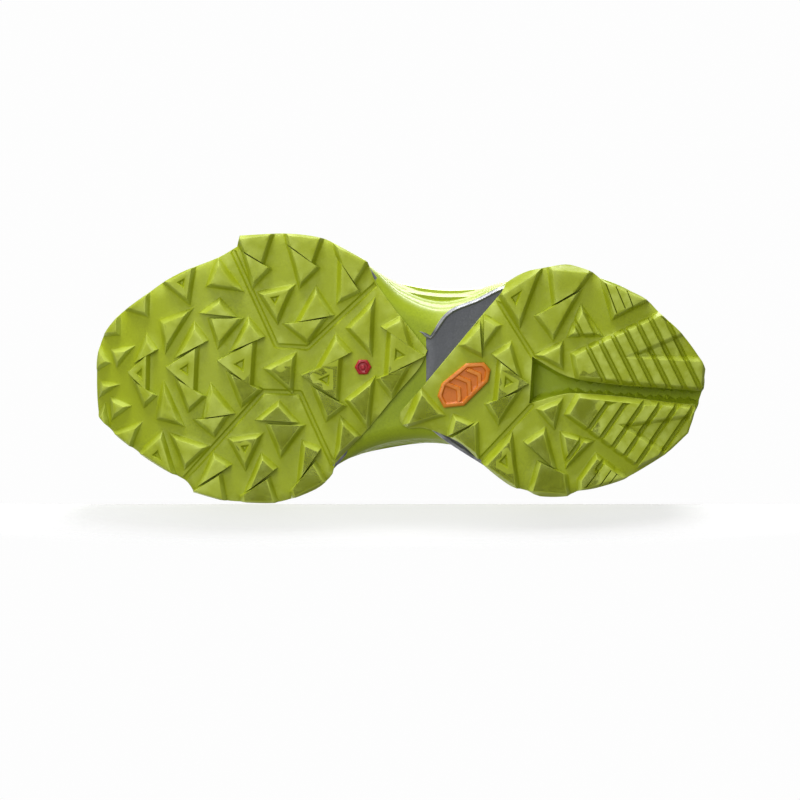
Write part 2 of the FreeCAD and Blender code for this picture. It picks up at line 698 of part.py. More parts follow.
def build_hidden_layers():
    """Toe puff, heel counter and collar foam, between the lining and the outer textile."""
    puff = layer(8.6, 14.4, level(0.04), level(0.42), level(STIFFENER_IN), level(STIFFENER_OUT))
    shape_node(puff, "toe_puff")
    counter = layer(COUNT - 3.6, COUNT + 3.6, level(0.04), level(0.56), level(STIFFENER_IN), level(STIFFENER_OUT))
    shape_node(counter, "heel_counter")
    foam_in = lambda s, t: lining_out(s, t) + FOAM_CLEARANCE
    foam = layer(COUNT - 4.5, COUNT + 4.5, level(0.67), level(0.93), foam_in, level(LINING_OUT), 40)
    shape_node(foam, "collar_foam")


def build_overlays():
    """Welded and moulded pieces on the outside of the upper."""
    inside, outside = level(OVERLAY_IN), level(OVERLAY_OUT)
    rim = lambda s: above_foam(s, 0.4)
    spans = [
        ("toe_bumper", 8.6, 14.4, rim, lambda s: rim(s) + 0.24),
        ("lateral_mudguard", 4.3, 8.5, rim, lambda s: rim(s) + 0.12),
        ("medial_mudguard", 14.5, 18.7, rim, lambda s: rim(s) + 0.12),
        ("heel_clip", COUNT - 4.2, COUNT + 4.2, rim, lambda s: rim(s) + 0.26),
        ("heel_patch", COUNT - 0.7, COUNT + 0.7, lambda s: rim(s) + 0.28, level(0.97)),
        ("lateral_saddle", 5.7, 7.3, lambda s: rim(s) + 0.14, level(0.77)),
        ("medial_saddle", 15.7, 17.3, lambda s: rim(s) + 0.14, level(0.77)),
    ]
    for label, start, end, low, high in spans:
        shape_node(layer(start, end, low, high, inside, outside), label)
    for label, stations in (("lateral_eyestay", LATERAL_EYELETS), ("medial_eyestay", MEDIAL_EYELETS)):
        start, end = min(stations) - 0.5, max(stations) + 0.5
        solid = layer(start, end, level(0.79), level(0.995), inside, outside, 24)
        shape_node(punched(solid, stations), label)


def build_eyelets():
    """Flanged eyelets: a barrel through the layers and a flange on the eyestay."""
    for label, stations in (("lateral_eyelets", LATERAL_EYELETS), ("medial_eyelets", MEDIAL_EYELETS)):
        group = []
        for i, s in enumerate(stations):
            place, normal = eyelet_axis(s)
            turn = Rotation(Vector(0, 0, 1), normal)
            barrel = doc.addObject("Part::Cylinder", f"{label}_barrel_{i}")
            bound(barrel, "Radius", "$eyelet_outer")
            barrel.Height = OVERLAY_OUT + 0.5
            barrel.Placement = Placement(place - normal * 0.2, turn)
            flange = doc.addObject("Part::Cylinder", f"{label}_flange_{i}")
            bound(flange, "Radius", "$eyelet_flange")
            bound(flange, "Height", "$flange_thickness")
            flange.Placement = Placement(place + normal * (OVERLAY_OUT + 0.2), turn)
            body = doc.addObject("Part::MultiFuse", f"{label}_body_{i}")
            body.Shapes = [barrel, flange]
            bore = doc.addObject("Part::Cylinder", f"{label}_bore_{i}")
            bound(bore, "Radius", "$eyelet_bore")
            bore.Height = 20
            bore.Placement = Placement(place - normal * 5, turn)
            cut = doc.addObject("Part::Cut", f"{label}_{i}")
            cut.Base = body
            cut.Tool = bore
            group.append(cut)
        compound = doc.addObject("Part::Compound", label + "_group")
        compound.Links = group
        node(compound, label)


LACE_ARCH = 3.2
LACE_LIFT = OVERLAY_OUT + 0.2 + dim("flange_thickness") + 0.9
LACE_HEIGHT = 0.97


def lace_strap(first, second):
    """One flat crossing of the lace, arched over the tongue between two eyelets."""
    starts = [skin(s, LACE_HEIGHT, LACE_LIFT) for s in (first, second)]
    run = starts[1] - starts[0]
    across = Vector(-run.y, run.x, 0)
    across.normalize()
    half, thickness = dim("lace_width") / 2, dim("lace_thickness")

    def path(u):
        return starts[0] + run * u + Vector(0, 0, LACE_ARCH * 4 * u * (1 - u))

    def surface(lift):
        return lambda u, v: path(u) + across * (half * (2 * v - 1)) + Vector(0, 0, lift)

    return thick_patch(surface(thickness), surface(0.0), 8, 2)


def build_lace():
    """One crossed lace, from a straight bar at the toe end up to the top eyelets."""
    lateral, medial = LATERAL_EYELETS[::-1], MEDIAL_EYELETS[::-1]
    straps = [lace_strap(lateral[0], medial[0])]
    for i in range(len(lateral) - 1):
        straps.append(lace_strap(lateral[i], medial[i + 1]))
        straps.append(lace_strap(medial[i], lateral[i + 1]))
    lace = straps[0].multiFuse(straps[1:])
    shape_node(lace if len(lace.Solids) > 1 else lace.Solids[0], "lace")


AGLET_START = 4.0
AGLET_SIDE = 5.0


def build_aglets():
    """The lace's two stiff tips, tucked on the tongue under the crossings."""
    tips = []
    for i, side in enumerate((-AGLET_SIDE, AGLET_SIDE)):
        low = throat(AGLET_START, side, dim("aglet_radius") + 0.5)
        high = throat(AGLET_START - dim("aglet_length"), side, dim("aglet_radius") + 0.5)
        tip = doc.addObject("Part::Cylinder", f"aglet_{i}")
        bound(tip, "Radius", "$aglet_radius")
        bound(tip, "Height", "$aglet_length")
        tip.Placement = Placement(low, Rotation(Vector(0, 0, 1), high - low))
        tips.append(tip)
    compound = doc.addObject("Part::Compound", "aglet_pair")
    compound.Links = tips
    node(compound, "aglets")


TONGUE_START, TONGUE_FOLD, TONGUE_END = -66.0, 44.0, 68.0
TONGUE_SPLIT = 0.6
TONGUE_HALF = [(-68, 5), (-45, 11), (-14, 16), (12, 18.5), (34, 22), (50, 24), (68, 20)]


def build_tongue():
    """The padded tongue: under the lace, and the free top above the last eyelets."""
    half = lambda y: along(TONGUE_HALF, y)
    inside, outside = -dim("tongue_thickness"), 0.0
    shape_node(tongue_part(TONGUE_START, TONGUE_FOLD, inside, outside, half), "tongue")
    top = tongue_part(TONGUE_FOLD + TONGUE_SPLIT, TONGUE_END, inside, outside, half)
    shape_node(top, "tongue_top")
    label = tongue_part(50.0, 63.0, 0.2, 1.2, level(10.0))
    shape_node(label, "tongue_label")


PULL_TAB = [
    (145.0, 100), (146.6, 100), (147.4, 108), (147.4, 126), (146.6, 133), (144.8, 137), (143.2, 137), (142.4, 134),
    (143.6, 127), (144.6, 116), (144.9, 108),
]
PULL_TAB_X = -5.0


def build_pull_tab():
    """Doubled webbing, sewn low on the heel patch and standing above the collar."""
    tab = sketched_pad("pull_tab_body", PULL_TAB, "YZ_Plane", "$tab_width", True)
    tab.Placement = Placement(Vector(PULL_TAB_X, 0, 0), Rotation())
    node(tab, "heel_pull_tab")


# ---------------------------------------------------------------- build, check and write

build_outsoles()
build_sole_inserts()
toe_tab = build_toe_tab()
build_plate()
build_midsole(toe_tab)
build_footbed()
build_shell_layers()
build_hidden_layers()
build_overlays()
build_eyelets()
build_lace()
build_aglets()
build_tongue()
build_pull_tab()
doc.recompute()

for obj in doc.Objects:
    if {"Invalid", "Error"} & set(obj.State):
        raise RuntimeError(f"{obj.Label} failed to build: {obj.State}")
for sub_part in nodes:
    if sub_part.Shape.isNull() or not sub_part.Shape.isValid():
        raise RuntimeError(f"{sub_part.Label} has a bad shape")

os.makedirs("parts", exist_ok=True)
for sub_part in nodes:
    sub_part.Shape.exportStep(f"parts/{sub_part.Label}.step")
    box = sub_part.Shape.BoundBox
    print(f"{sub_part.Label}: {len(sub_part.Shape.Solids)} solid(s), {sub_part.Shape.Volume:.0f} mm3,"
          f" X {box.XMin:.1f}..{box.XMax:.1f} Y {box.YMin:.1f}..{box.YMax:.1f} Z {box.ZMin:.1f}..{box.ZMax:.1f}")
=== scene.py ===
import math

import bmesh
import bpy
import numpy as np
from mathutils import Matrix, Vector, geometry


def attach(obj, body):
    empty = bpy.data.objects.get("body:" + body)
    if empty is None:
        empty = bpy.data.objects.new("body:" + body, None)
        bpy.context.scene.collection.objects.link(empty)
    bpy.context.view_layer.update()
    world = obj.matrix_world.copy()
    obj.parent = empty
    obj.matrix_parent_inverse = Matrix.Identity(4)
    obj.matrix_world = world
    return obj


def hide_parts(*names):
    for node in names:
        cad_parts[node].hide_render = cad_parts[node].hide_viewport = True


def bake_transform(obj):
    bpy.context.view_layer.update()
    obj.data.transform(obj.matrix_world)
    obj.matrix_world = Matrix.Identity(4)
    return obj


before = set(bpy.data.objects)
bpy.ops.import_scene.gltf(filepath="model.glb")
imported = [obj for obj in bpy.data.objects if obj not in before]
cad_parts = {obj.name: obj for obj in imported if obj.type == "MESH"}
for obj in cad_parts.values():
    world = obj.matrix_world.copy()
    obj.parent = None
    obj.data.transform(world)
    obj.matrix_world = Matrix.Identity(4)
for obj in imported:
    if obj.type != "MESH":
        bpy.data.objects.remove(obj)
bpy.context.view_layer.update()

MM = 0.001

# Left trail shoe, in millimetres until each mesh is made: +X lateral, -X medial, -Y toe, +Y heel,
# ground at z = 0. Outline points are (y, x) pairs, as on the CAD model.

# ---------------------------------------------------------------- sizes shared with the CAD model

LUG = 4.0
RUBBER = 2.5
FOAM_BOTTOM = LUG + RUBBER
HALF_LENGTH = 147.5
SPRING_TOE, SPRING_HEEL = -85.0, 95.0
TOE_SPRING, HEEL_SPRING = 24.0, 9.0
LINING_OUT = 0.8
MESH_OUT = 3.5
OVERLAY_IN = 3.75

FOAM_TOP = [
    (-152, 47), (-135, 46), (-100, 40), (-60, 38.5), (-10, 41), (40, 45), (90, 49), (130, 53), (152, 55),
]
FEATHER_HEIGHT = [
    (-150, 34.5), (-135, 33.5), (-110, 29.5), (-75, 28), (-30, 30), (30, 34), (90, 37.5), (150, 38),
]


def ground(y):
    """Height of the tread's contact line: flat, with a toe spring and a heel spring."""
    y = np.asarray(y, float)
    toe = np.clip((SPRING_TOE - y) / (HALF_LENGTH + SPRING_TOE), 0, None)
    heel = np.clip((y - SPRING_HEEL) / (HALF_LENGTH - SPRING_HEEL), 0, None)
    return TOE_SPRING * toe**1.8 + HEEL_SPRING * heel**1.7


def along(table, y):
    """Smooth value at y from (y, value) pairs, with no overshoot between points."""
    ys = np.array([row[0] for row in table], float)
    vs = np.array([row[1] for row in table], float)
    y = np.clip(np.asarray(y, float), ys[0], ys[-1])
    i = np.clip(np.searchsorted(ys, y, side="right") - 1, 0, len(ys) - 2)
    rate = np.diff(vs) / np.diff(ys)
    before, after = rate[:-1], rate[1:]
    same = before * after > 0
    inner = np.where(same, 2 * before * after / np.where(same, before + after, 1), 0)
    tangent = np.concatenate([rate[:1], inner, rate[-1:]])
    width = ys[i + 1] - ys[i]
    f = (y - ys[i]) / width
    start = vs[i] * (2 * f**3 - 3 * f * f + 1) + tangent[i] * width * (f**3 - 2 * f * f + f)
    return start + vs[i + 1] * (3 * f * f - 2 * f**3) + tangent[i + 1] * width * (f**3 - f * f)


def smooth(x):
    """0 to 1 with level ends."""
    x = np.clip(x, 0, 1)
    return x * x * (3 - 2 * x)


# ---------------------------------------------------------------- mesh helpers

def mesh_object(name, verts, faces, material, uvs=None, sharp=35.0):
    """A mesh from points in millimetres; edges sharper than the angle stay crisp."""
    mesh = bpy.data.meshes.new(name)
    mesh.from_pydata([tuple(float(c) * MM for c in v) for v in verts], [], [tuple(f) for f in faces])
    mesh.validate()
    if uvs is not None:
        layer = mesh.uv_layers.new(name="UVMap")
        loops = np.zeros(len(mesh.loops), int)
        mesh.loops.foreach_get("vertex_index", loops)
        layer.data.foreach_set("uv", np.asarray(uvs, float)[loops].ravel())
    mesh.polygons.foreach_set("use_smooth", [True] * len(mesh.polygons))
    mesh.set_sharp_from_angle(angle=math.radians(sharp))
    mesh.materials.append(material)
    return add_object(name, mesh)


def add_object(name, data):
    """A new object in the scene from a mesh, light or camera."""
    obj = bpy.data.objects.new(name, data)
    bpy.context.scene.collection.objects.link(obj)
    return obj


def fix_normals(obj):
    """Makes a closed mesh's faces point outward."""
    work = bmesh.new()
    work.from_mesh(obj.data)
    bmesh.ops.recalc_face_normals(work, faces=work.faces)
    work.to_mesh(obj.data)
    work.free()


def place(obj, body, slot, *replaced):
    """Rides a finished piece on its body and hides the CAD parts that it replaces."""
    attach(obj, body)
    if replaced:
        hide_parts(*replaced)
    return obj


def grid_faces(columns, rows):
    """Quads of a grid stored column by column."""
    return [(i * rows + k, (i + 1) * rows + k, (i + 1) * rows + k + 1, i * rows + k + 1)
            for i in range(columns - 1) for k in range(rows - 1)]


def swept_faces(rings, sides, closed=False):
    """Quads between rings of points; closed joins the last ring to the first, else both ends get a face."""
    faces = []
    for i in range(rings if closed else rings - 1):
        n = (i + 1) % rings
        for k in range(sides):
            j = (k + 1) % sides
            faces.append((i * sides + k, n * sides + k, n * sides + j, i * sides + j))
    if not closed:
        faces += [tuple(range(sides)), tuple((rings - 1) * sides + k for k in range(sides))[::-1]]
    return faces


def outward(run):
    """Level directions across a closed run of points, to the right of its direction."""
    ahead = np.roll(run, -1, axis=0) - np.roll(run, 1, axis=0)
    return np.column_stack([ahead[:, 1], -ahead[:, 0]]) / np.maximum(np.hypot(*ahead.T), 1e-6)[:, None]


def two_faced(top, under):
    """Points and faces of a closed sheet between two grids of points of the same size."""
    columns, rows = top.shape[:2]
    total = columns * rows
    faces = grid_faces(columns, rows)
    faces += [tuple(i + total for i in face[::-1]) for face in faces]
    rim = [i * rows for i in range(columns)] + [(columns - 1) * rows + k for k in range(1, rows)]
    rim += [i * rows + rows - 1 for i in range(columns - 2, -1, -1)] + [k for k in range(rows - 2, 0, -1)]
    faces += [(b, a, a + total, b + total) for a, b in zip(rim, rim[1:] + rim[:1])]
    return np.vstack([top.reshape(-1, 3), under.reshape(-1, 3)]), faces


# ---------------------------------------------------------------- flat outlines

def smooth_outline(points, step=2.0, corner=28.0):
    """Points (y, x) to a closed run of (x, y), curved except where the outline turns sharply."""
    p = np.array([(x, y) for y, x in points], float)
    n = len(p)
    ahead = np.roll(p, -1, axis=0) - p
    heading = np.degrees(np.arctan2(ahead[:, 1], ahead[:, 0]))
    turn = np.abs((heading - np.roll(heading, 1) + 180) % 360 - 180)
    tangent = (np.roll(p, -1, axis=0) - np.roll(p, 1, axis=0)) / 2
    run = []
    for i in range(n):
        j = (i + 1) % n
        length = np.hypot(*ahead[i])
        m0 = ahead[i] if turn[i] > corner else tangent[i] / max(np.hypot(*tangent[i]), 1e-6) * length
        m1 = ahead[i] if turn[j] > corner else tangent[j] / max(np.hypot(*tangent[j]), 1e-6) * length
        count = max(1, int(length / step))
        for k in range(count):
            f = k / count
            run.append(
                p[i] * (2 * f**3 - 3 * f * f + 1) + m0 * (f**3 - 2 * f * f + f)
                + p[j] * (3 * f * f - 2 * f**3) + m1 * (f**3 - f * f)
            )
    return np.array(run)


def inside(outline, points):
    """Which points lie inside a closed outline."""
    x, y = points[:, 0], points[:, 1]
    hit = np.zeros(len(points), bool)
    for (x0, y0), (x1, y1) in zip(outline, np.roll(outline, -1, axis=0)):
        crosses = (y0 > y) != (y1 > y)
        if y0 != y1:
            hit ^= crosses & (x < (x1 - x0) * (y - y0) / (y1 - y0) + x0)
    return hit


def outline_distance(outline, points):
    """Distance from each point to a closed outline."""
    best = np.full(len(points), 1e9)
    for a, b in zip(outline, np.roll(outline, -1, axis=0)):
        best = np.minimum(best, segment_distance(a, b, points))
    return best


def segment_distance(a, b, points):
    """Distance from each point to a straight stretch."""
    a, b = np.asarray(a, float), np.asarray(b, float)
    d = b - a
    share = np.clip(((points - a) @ d) / max(d @ d, 1e-9), 0, 1)
    return np.hypot(*(points - a - share[:, None] * d).T)


# ---------------------------------------------------------------- tread: raised and sunk polygons

class Facet:
    """A polygon raised from the tread or sunk into it, with its own slope at each edge.

    Corners are (y, x). Its level is 0 at the lip of the flat and 1 at the foot of the slope."""

    def __init__(self, corners, lip=0.8, foot=1.2):
        p = np.array([(x, y) for y, x in corners], float)
        ahead = np.roll(p, -1, axis=0)
        area = np.sum(p[:, 0] * ahead[:, 1] - ahead[:, 0] * p[:, 1]) / 2
        if area < 0:
            p = p[::-1]
        self.corners = p
        edge = np.roll(p, -1, axis=0) - p
        length = np.hypot(edge[:, 0], edge[:, 1])
        self.normals = np.stack([edge[:, 1], -edge[:, 0]], axis=1) / length[:, None]
        self.reach = np.sum(self.normals * p, axis=1)
        self.lip = np.full(len(p), float(lip))
        self.foot = np.full(len(p), float(foot))
        self.low = p.min(axis=0) - foot - 1
        self.high = p.max(axis=0) + foot + 1

    def level(self, points):
        """Each point's level, 9 where it is far away."""
        near = np.all((points > self.low) & (points < self.high), axis=1)
        result = np.full(len(points), 9.0)
        gap = points[near] @ self.normals.T - self.reach
        result[near] = ((gap + self.lip) / (self.lip + self.foot)).max(axis=1)
        return result

    def ring(self, level, cut=0.3):
        """The outline at one level, its corners cut a little."""
        offset = self.reach - self.lip + level * (self.lip + self.foot)
        n = len(offset)
        corners = []
        for i in range(n):
            a, b = self.normals[i - 1], self.normals[i]
            det = a[0] * b[1] - a[1] * b[0]
            if abs(det) < 1e-3:
                return None
            x = (offset[i - 1] * b[1] - offset[i] * a[1]) / det
            corners.append((x, (a[0] * offset[i] - b[0] * offset[i - 1]) / det))
        corners = np.array(corners)
        edge = np.roll(corners, -1, axis=0) - corners
        direction = np.stack([-self.normals[:, 1], self.normals[:, 0]], axis=1)
        length = np.sum(edge * direction, axis=1)
        if np.any(length < 0.2):
            return None
        run = []
        for i in range(n):
            before, after = min(cut, length[i - 1] / 3), min(cut, length[i] / 3)
            run.append(corners[i] - direction[i - 1] * before)
            run.append(corners[i] + direction[i] * after)
        return np.array(run)


# Shares of a slope that its rounded lip and its rounded foot take.
LIP_ROUND, FOOT_ROUND = 0.12, 0.2


def ramp(level):
    """1 inside the lip and 0 beyond the foot, straight between, rounded at both ends."""
    u = np.asarray(level, float)
    value = 1 - u
    value = np.where(u < LIP_ROUND, 1 - (u + LIP_ROUND) ** 2 / (4 * LIP_ROUND), value)
    value = np.where(u < -LIP_ROUND, 1.0, value)
    value = np.where(u > 1 - FOOT_ROUND, (1 + FOOT_ROUND - u) ** 2 / (4 * FOOT_ROUND), value)
    return np.where(u > 1 + FOOT_ROUND, 0.0, value)


def steepen_edges(lugs, outline):
    """Edges that face a close neighbour become sipe walls; edges on the outline stand nearly upright."""
    edges = []
    for lug in lugs:
        for i, start in enumerate(lug.corners):
            edges.append((lug, i, start, lug.corners[(i + 1) % len(lug.corners)]))
    for lug, i, a, b in edges:
        middle = (a + b) / 2
        if outline_distance(outline, np.array([a, b])).max() < 1.6:
            lug.lip[i], lug.foot[i] = 0.3, 2.4
            continue
        for other, j, c, d in edges:
            if other is lug or lug.normals[i] @ other.normals[j] > -0.88:
                continue
            gap = segment_distance(c, d, np.array([middle, a * 0.7 + b * 0.3, a * 0.3 + b * 0.7])).min()
            back = segment_distance(a, b, ((c + d) / 2)[None])[0]
            if min(gap, back) < 2.0:
                lug.lip[i], lug.foot[i] = 0.05, 0.3
                break


class Cut:
    """A straight groove between two (y, x) points, in the lugs or in the base between them."""

    def __init__(self, start, end, half, depth, base=False):
        self.a, self.b = np.array(start[::-1], float), np.array(end[::-1], float)
        self.half, self.depth, self.base = half, depth, base

    def fall(self, points):
        """How deep the groove is at each point."""
        share = np.clip(1 - segment_distance(self.a, self.b, points) / self.half, 0, 1)
        return self.depth * np.minimum(1, share * 1.6) ** 1.3

    def lines(self):
        """Lines along the groove for the mesh to follow."""
        direction = (self.b - self.a) / np.hypot(*(self.b - self.a))
        side = np.array([-direction[1], direction[0]])
        for share in (-1, -0.4, 0, 0.4, 1):
            yield np.array([self.a + side * share * self.half, self.b + side * share * self.half])


def subdivide(run, step):
    """Adds points so that no stretch of an open or closed run is longer than step."""
    points = []
    for a, b in zip(run[:-1], run[1:]):
        count = max(1, int(math.ceil(np.hypot(*(b - a)) / step)))
        points += [a + (b - a) * k / count for k in range(count)]
    return np.array(points + [run[-1]])


def triangulate(outline, loops, lines, spacing):
    """Triangles inside an outline that follow every loop and line, with a light grid between them."""
    points, edges = [], []

    def add(run, closed):
        first = len(points)
        points.extend(run)
        edges.extend((first + k, first + k + 1) for k in range(len(run) - 1))
        if closed:
            edges.append((first + len(run) - 1, first))

    add(outline, True)
    for loop in loops:
        add(subdivide(np.vstack([loop, loop[:1]]), spacing * 2)[:-1], True)
    for line in lines:
        add(subdivide(line, spacing), False)
    low, high = outline.min(axis=0), outline.max(axis=0)
    xs = np.arange(low[0] + spacing / 2, high[0], spacing)
    ys = np.arange(low[1] + spacing / 2, high[1], spacing * 0.866)
    grid = np.array([(x + (row % 2) * spacing / 2, y) for row, y in enumerate(ys) for x in xs])
    grid = grid[inside(outline, grid)]
    grid = grid[outline_distance(outline, grid) > spacing * 0.45]
    placed = np.array(points)
    far = np.ones(len(grid), bool)
    for chunk in np.array_split(placed, max(1, len(placed) // 400)):
        gap = np.hypot(grid[:, None, 0] - chunk[None, :, 0], grid[:, None, 1] - chunk[None, :, 1]).min(axis=1)
        far &= gap > spacing * 0.4
    points.extend(grid[far])
    verts, _, faces, *_ = geometry.delaunay_2d_cdt([Vector(p) for p in points], edges, [], 0, 1e-4)
    verts = np.array([tuple(v) for v in verts])
    faces = np.array([f for f in faces if len(f) == 3])
    middles = verts[faces].mean(axis=1)
    faces = faces[inside(outline, middles)]
    used = np.unique(faces)
    remap = np.full(len(verts), -1)
    remap[used] = np.arange(len(used))
    return verts[used], remap[faces]


def boundary_loop(faces):
    """The outer edge of a triangulated patch, in order."""
    follow = {}
    seen = {(a, b) for f in faces for a, b in ((f[0], f[1]), (f[1], f[2]), (f[2], f[0]))}
    for a, b in seen:
        if (b, a) not in seen:
            follow[a] = b
    start = next(iter(follow))
    loop = [start]
    while follow[loop[-1]] != start and len(loop) <= len(follow):
        loop.append(follow[loop[-1]])
    return loop


def relief(name, outline, loops, lines, bottom, top, spacing, material, bevel=0.25):
    """A closed plate whose underside is a relief: heights come from bottom(points) and top(points)."""
    flat, faces = triangulate(outline, loops, lines, spacing)
    loop = boundary_loop(faces)
    count = len(flat)
    under = np.column_stack([flat, bottom(flat)])
    rim = flat[loop]
    away = outward(rim)
    low = under[loop, 2]
    high = top(rim)
    step = np.minimum(bevel * 1.4, (high - low) * 0.4)
    wall = [
        np.column_stack([rim + away * bevel, low + step]),
        np.column_stack([rim + away * bevel * 0.6, high]),
    ]
    verts = np.vstack([under, *wall])
    n = len(loop)
    quads = []
    for k in range(n):
        j = (k + 1) % n
        quads.append((loop[k], loop[j], count + j, count + k))
        quads.append((count + k, count + j, count + n + j, count + n + k))
    cap = tuple(count + n + k for k in range(n))
    return mesh_object(name, verts, [tuple(f[::-1]) for f in faces] + quads + [cap], material, sharp=30)


# ---------------------------------------------------------------- the tread's layout, (y, x)

FOREFOOT_POD = [
    (12.4, 8.6), (-11.4, 39.5), (-16.2, 51), (-30, 58.5), (-38.5, 62.3), (-54.7, 64.2), (-76.6, 63.3),
    (-78, 58),
    (-87, 52.8), (-102.8, 46.6), (-112.8, 41.4), (-121, 35.7), (-131.8, 28), (-137, 23.6), (-143.4, 15.5),
    (-146.5, 7), (-147.5, -1.4), (-147.5, -14.7), (-146.7, -24.3), (-138.5, -32.4), (-125.4, -41.6),
    (-115.3, -47.6), (-106, -52.3), (-102, -55), (-99.4, -59), (-84.2, -63), (-76, -63.7), (-60.4, -64),
    (-52.8, -62.3), (-41, -57.6), (-36.4, -54.2), (-33, -50.4), (-31.7, -45.7), (-16.2, -29), (-2.9, -12.8),
    (8.6, 0.5),
]
HEEL_POD = [
    (50.4, 40.9), (55.7, 44.2), (61.4, 46.6), (66.6, 47.6), (78.5, 49.5), (85.2, 48.1), (91.4, 45.7),
    (95.6, 42.3),
    (107.5, 37.6), (117, 32.8), (123.2, 26.6), (134.4, 16.2), (144.2, 3.1), (145.9, -0.7), (144.6, -9),
    (143.2, -10.9),
    (82.8, -4.5), (62.7, 5.7), (61.2, -17), (82.8, -12), (140.7, -18), (141.2, -19.5), (137.8, -31.2),
    (127, -40.9), (116, -47.9), (106.6, -52.8), (92.8, -57.1), (85.2, -58.3), (79.5, -60.8), (66.6, -61.1),
    (60.9, -58.5), (52.8, -56.1), (40, -46.3), (29.4, -36), (21.1, -31.9), (10.8, -28.3), (3.7, -28.5),
    (0.4, -26.6), (-0.7, -24), (-0.1, -20.9), (9, -10.5), (21.4, 4.3), (39, 25.5), (48.1, 36.4),
]

FOREFOOT_LUGS = [
    # lateral edge blocks and their inner halves
    [(-77.5, 62), (-61.5, 64.2), (-66, 50.5), (-75, 56)], [(-74.5, 55), (-62.5, 48), (-70.5, 40)],
    [(-54.5, 64), (-38, 62), (-42, 50.5), (-53.5, 59)], [(-53, 58), (-39.5, 48.5), (-48, 40)],
    [(-31, 58.5), (-16, 51), (-22, 41), (-29, 51.2)], [(-29, 51), (-20, 37), (-29.5, 32.5)],
    [(-67, 36), (-52, 39), (-59, 23)], [(-40.5, 37.5), (-33, 25.5), (-49, 22.5)],
    [(-55, 21.5), (-36.5, 24), (-44.5, 13)], [(-13.5, 31.5), (-25, 19.5), (-14.5, 8)],
    # rear centre: the trio that points at the waist, and its neighbours
    [(-8.5, 19.5), (0, 24), (4.5, 10.5)], [(-5.5, 17.5), (11, 6), (-7, -3)],
    [(-11, -4.5), (3.5, 1.5), (-4.5, -13)], [(-13.5, -5.5), (-25.5, -15), (-16, -27.5)],
    [(-28.5, -24.5), (-20.5, -32.5), (-30.5, -41.5)],
    # centre column: trios that point at the toe
    [(-31, 15), (-24.5, 7.5), (-39.5, 0)], [(-47.5, -3), (-29, 5), (-30.5, -14.5)],
    [(-41.5, -9), (-27, -17.5), (-35.5, -24)], [(-51, 6.5), (-64, 0), (-52.5, -10)],
    [(-72.5, 23), (-66, 15), (-80, 9)], [(-87.5, 4), (-70, 13), (-71.5, -8.5)],
    [(-82, -2), (-67.5, -10), (-76, -17)],
    [(-98.5, 20.5), (-93, 13), (-106.5, 6)], [(-112.5, 0.5), (-97.5, 10), (-98.5, -11)],
    [(-107.5, -5), (-94, -13), (-101.5, -19.5)],
    [(-122, 14.5), (-117.5, 8.5), (-127, 3)], [(-131.5, -2.5), (-121.5, 6.5), (-122, -11.5)],
    [(-128, -7), (-118, -13), (-123.5, -18)],
    # lateral front
    [(-86.5, 32.5), (-94.5, 26.5), (-80, 25)], [(-91, 24), (-76.5, 24), (-87, 11.5)],
    [(-87, 51.2), (-91.5, 40), (-77, 38)], [(-112.7, 41), (-99, 48.5), (-101.5, 32)],
    [(-131.5, 28), (-121.5, 35.3), (-122, 25.5)], [(-143.4, 15.5), (-136.5, 24), (-136.5, 16)],
    [(-114.5, 22), (-101.5, 27), (-112.5, 9.5)], [(-139.5, 7.5), (-130.5, 9), (-137, 1)],
    # toe edge
    [(-146, 8), (-142, 2), (-147, -1)], [(-145, -8.5), (-138, -9), (-145.5, -13.5)],
    [(-140, -16), (-132, -19), (-139.5, -24.5)], [(-146.5, -24.5), (-144, -20.5), (-142.5, -29.5)],
    # medial front
    [(-138.5, -32.3), (-126.5, -28), (-130.5, -38)], [(-125.4, -41.4), (-115, -32), (-109, -51)],
    [(-113.5, -8.5), (-105.5, -26.5), (-116.5, -24)], [(-109.5, -32.5), (-93.5, -37.5), (-103.5, -47)],
    [(-90.5, -9), (-80.5, -21.5), (-94, -23.5)], [(-98, -24.5), (-83.5, -22.5), (-89.5, -31.5)],
    [(-58.5, -16.5), (-68, -24.5), (-50.5, -25.5)], [(-63.5, -26.5), (-47, -27), (-57.5, -41)],
    [(-81.5, -34), (-67.5, -32), (-74.5, -47)],
    # medial edge blocks and their inner halves
    [(-89.5, -41.5), (-82, -46.5), (-95.5, -55)], [(-99.2, -58.8), (-86.5, -50.5), (-84.5, -62.9)],
    [(-66.5, -42), (-60, -48), (-73.5, -58.5)], [(-76, -60.5), (-63.5, -52.5), (-60, -63.8), (-75.8, -63.6)],
    [(-46.5, -35.5), (-39, -39), (-48.5, -53)], [(-52.5, -58), (-41.5, -45), (-36.5, -54), (-51.6, -61.6)],
]
HEEL_LUGS = [
    [(10, -11), (19.5, -22), (3, -27)], [(37.5, 21), (29, 11.5), (38.5, 6.5)],
    [(39.5, 24.5), (46.5, 20.5), (39.5, 11)], [(47.5, 35.3), (66, 47), (56.5, 21.5)],
    [(71, 47.6), (90, 45.8), (84, 37.5), (73, 31)], [(64.5, 25.5), (84.5, 36.5), (72.5, 15)],
    [(86, 29), (94.5, 16.5), (80.5, 16)], [(76.5, 12), (66, 6.5), (76.5, 1)],
    [(44, 6.5), (52, 11.5), (56.5, -3.5)], [(47, 3.5), (60.5, -7), (45, -15.5)],
    [(41, -16.5), (56, -11), (46.5, -25.5)], [(25.5, -23), (33.5, -26.5), (23.5, -31.5)],
    [(25, -32.5), (36, -26), (36.5, -41)], [(52.5, -32.5), (40, -46), (55.5, -56.8)],
    [(68.5, -29.5), (59.5, -35.5), (73.5, -48)], [(66, -44.5), (62, -58.6), (80, -60.3), (78.5, -50.5)],
    [(77, -31), (90.5, -35), (79.5, -46)], [(76, -15.5), (66, -19.5), (73, -27.5)],
]
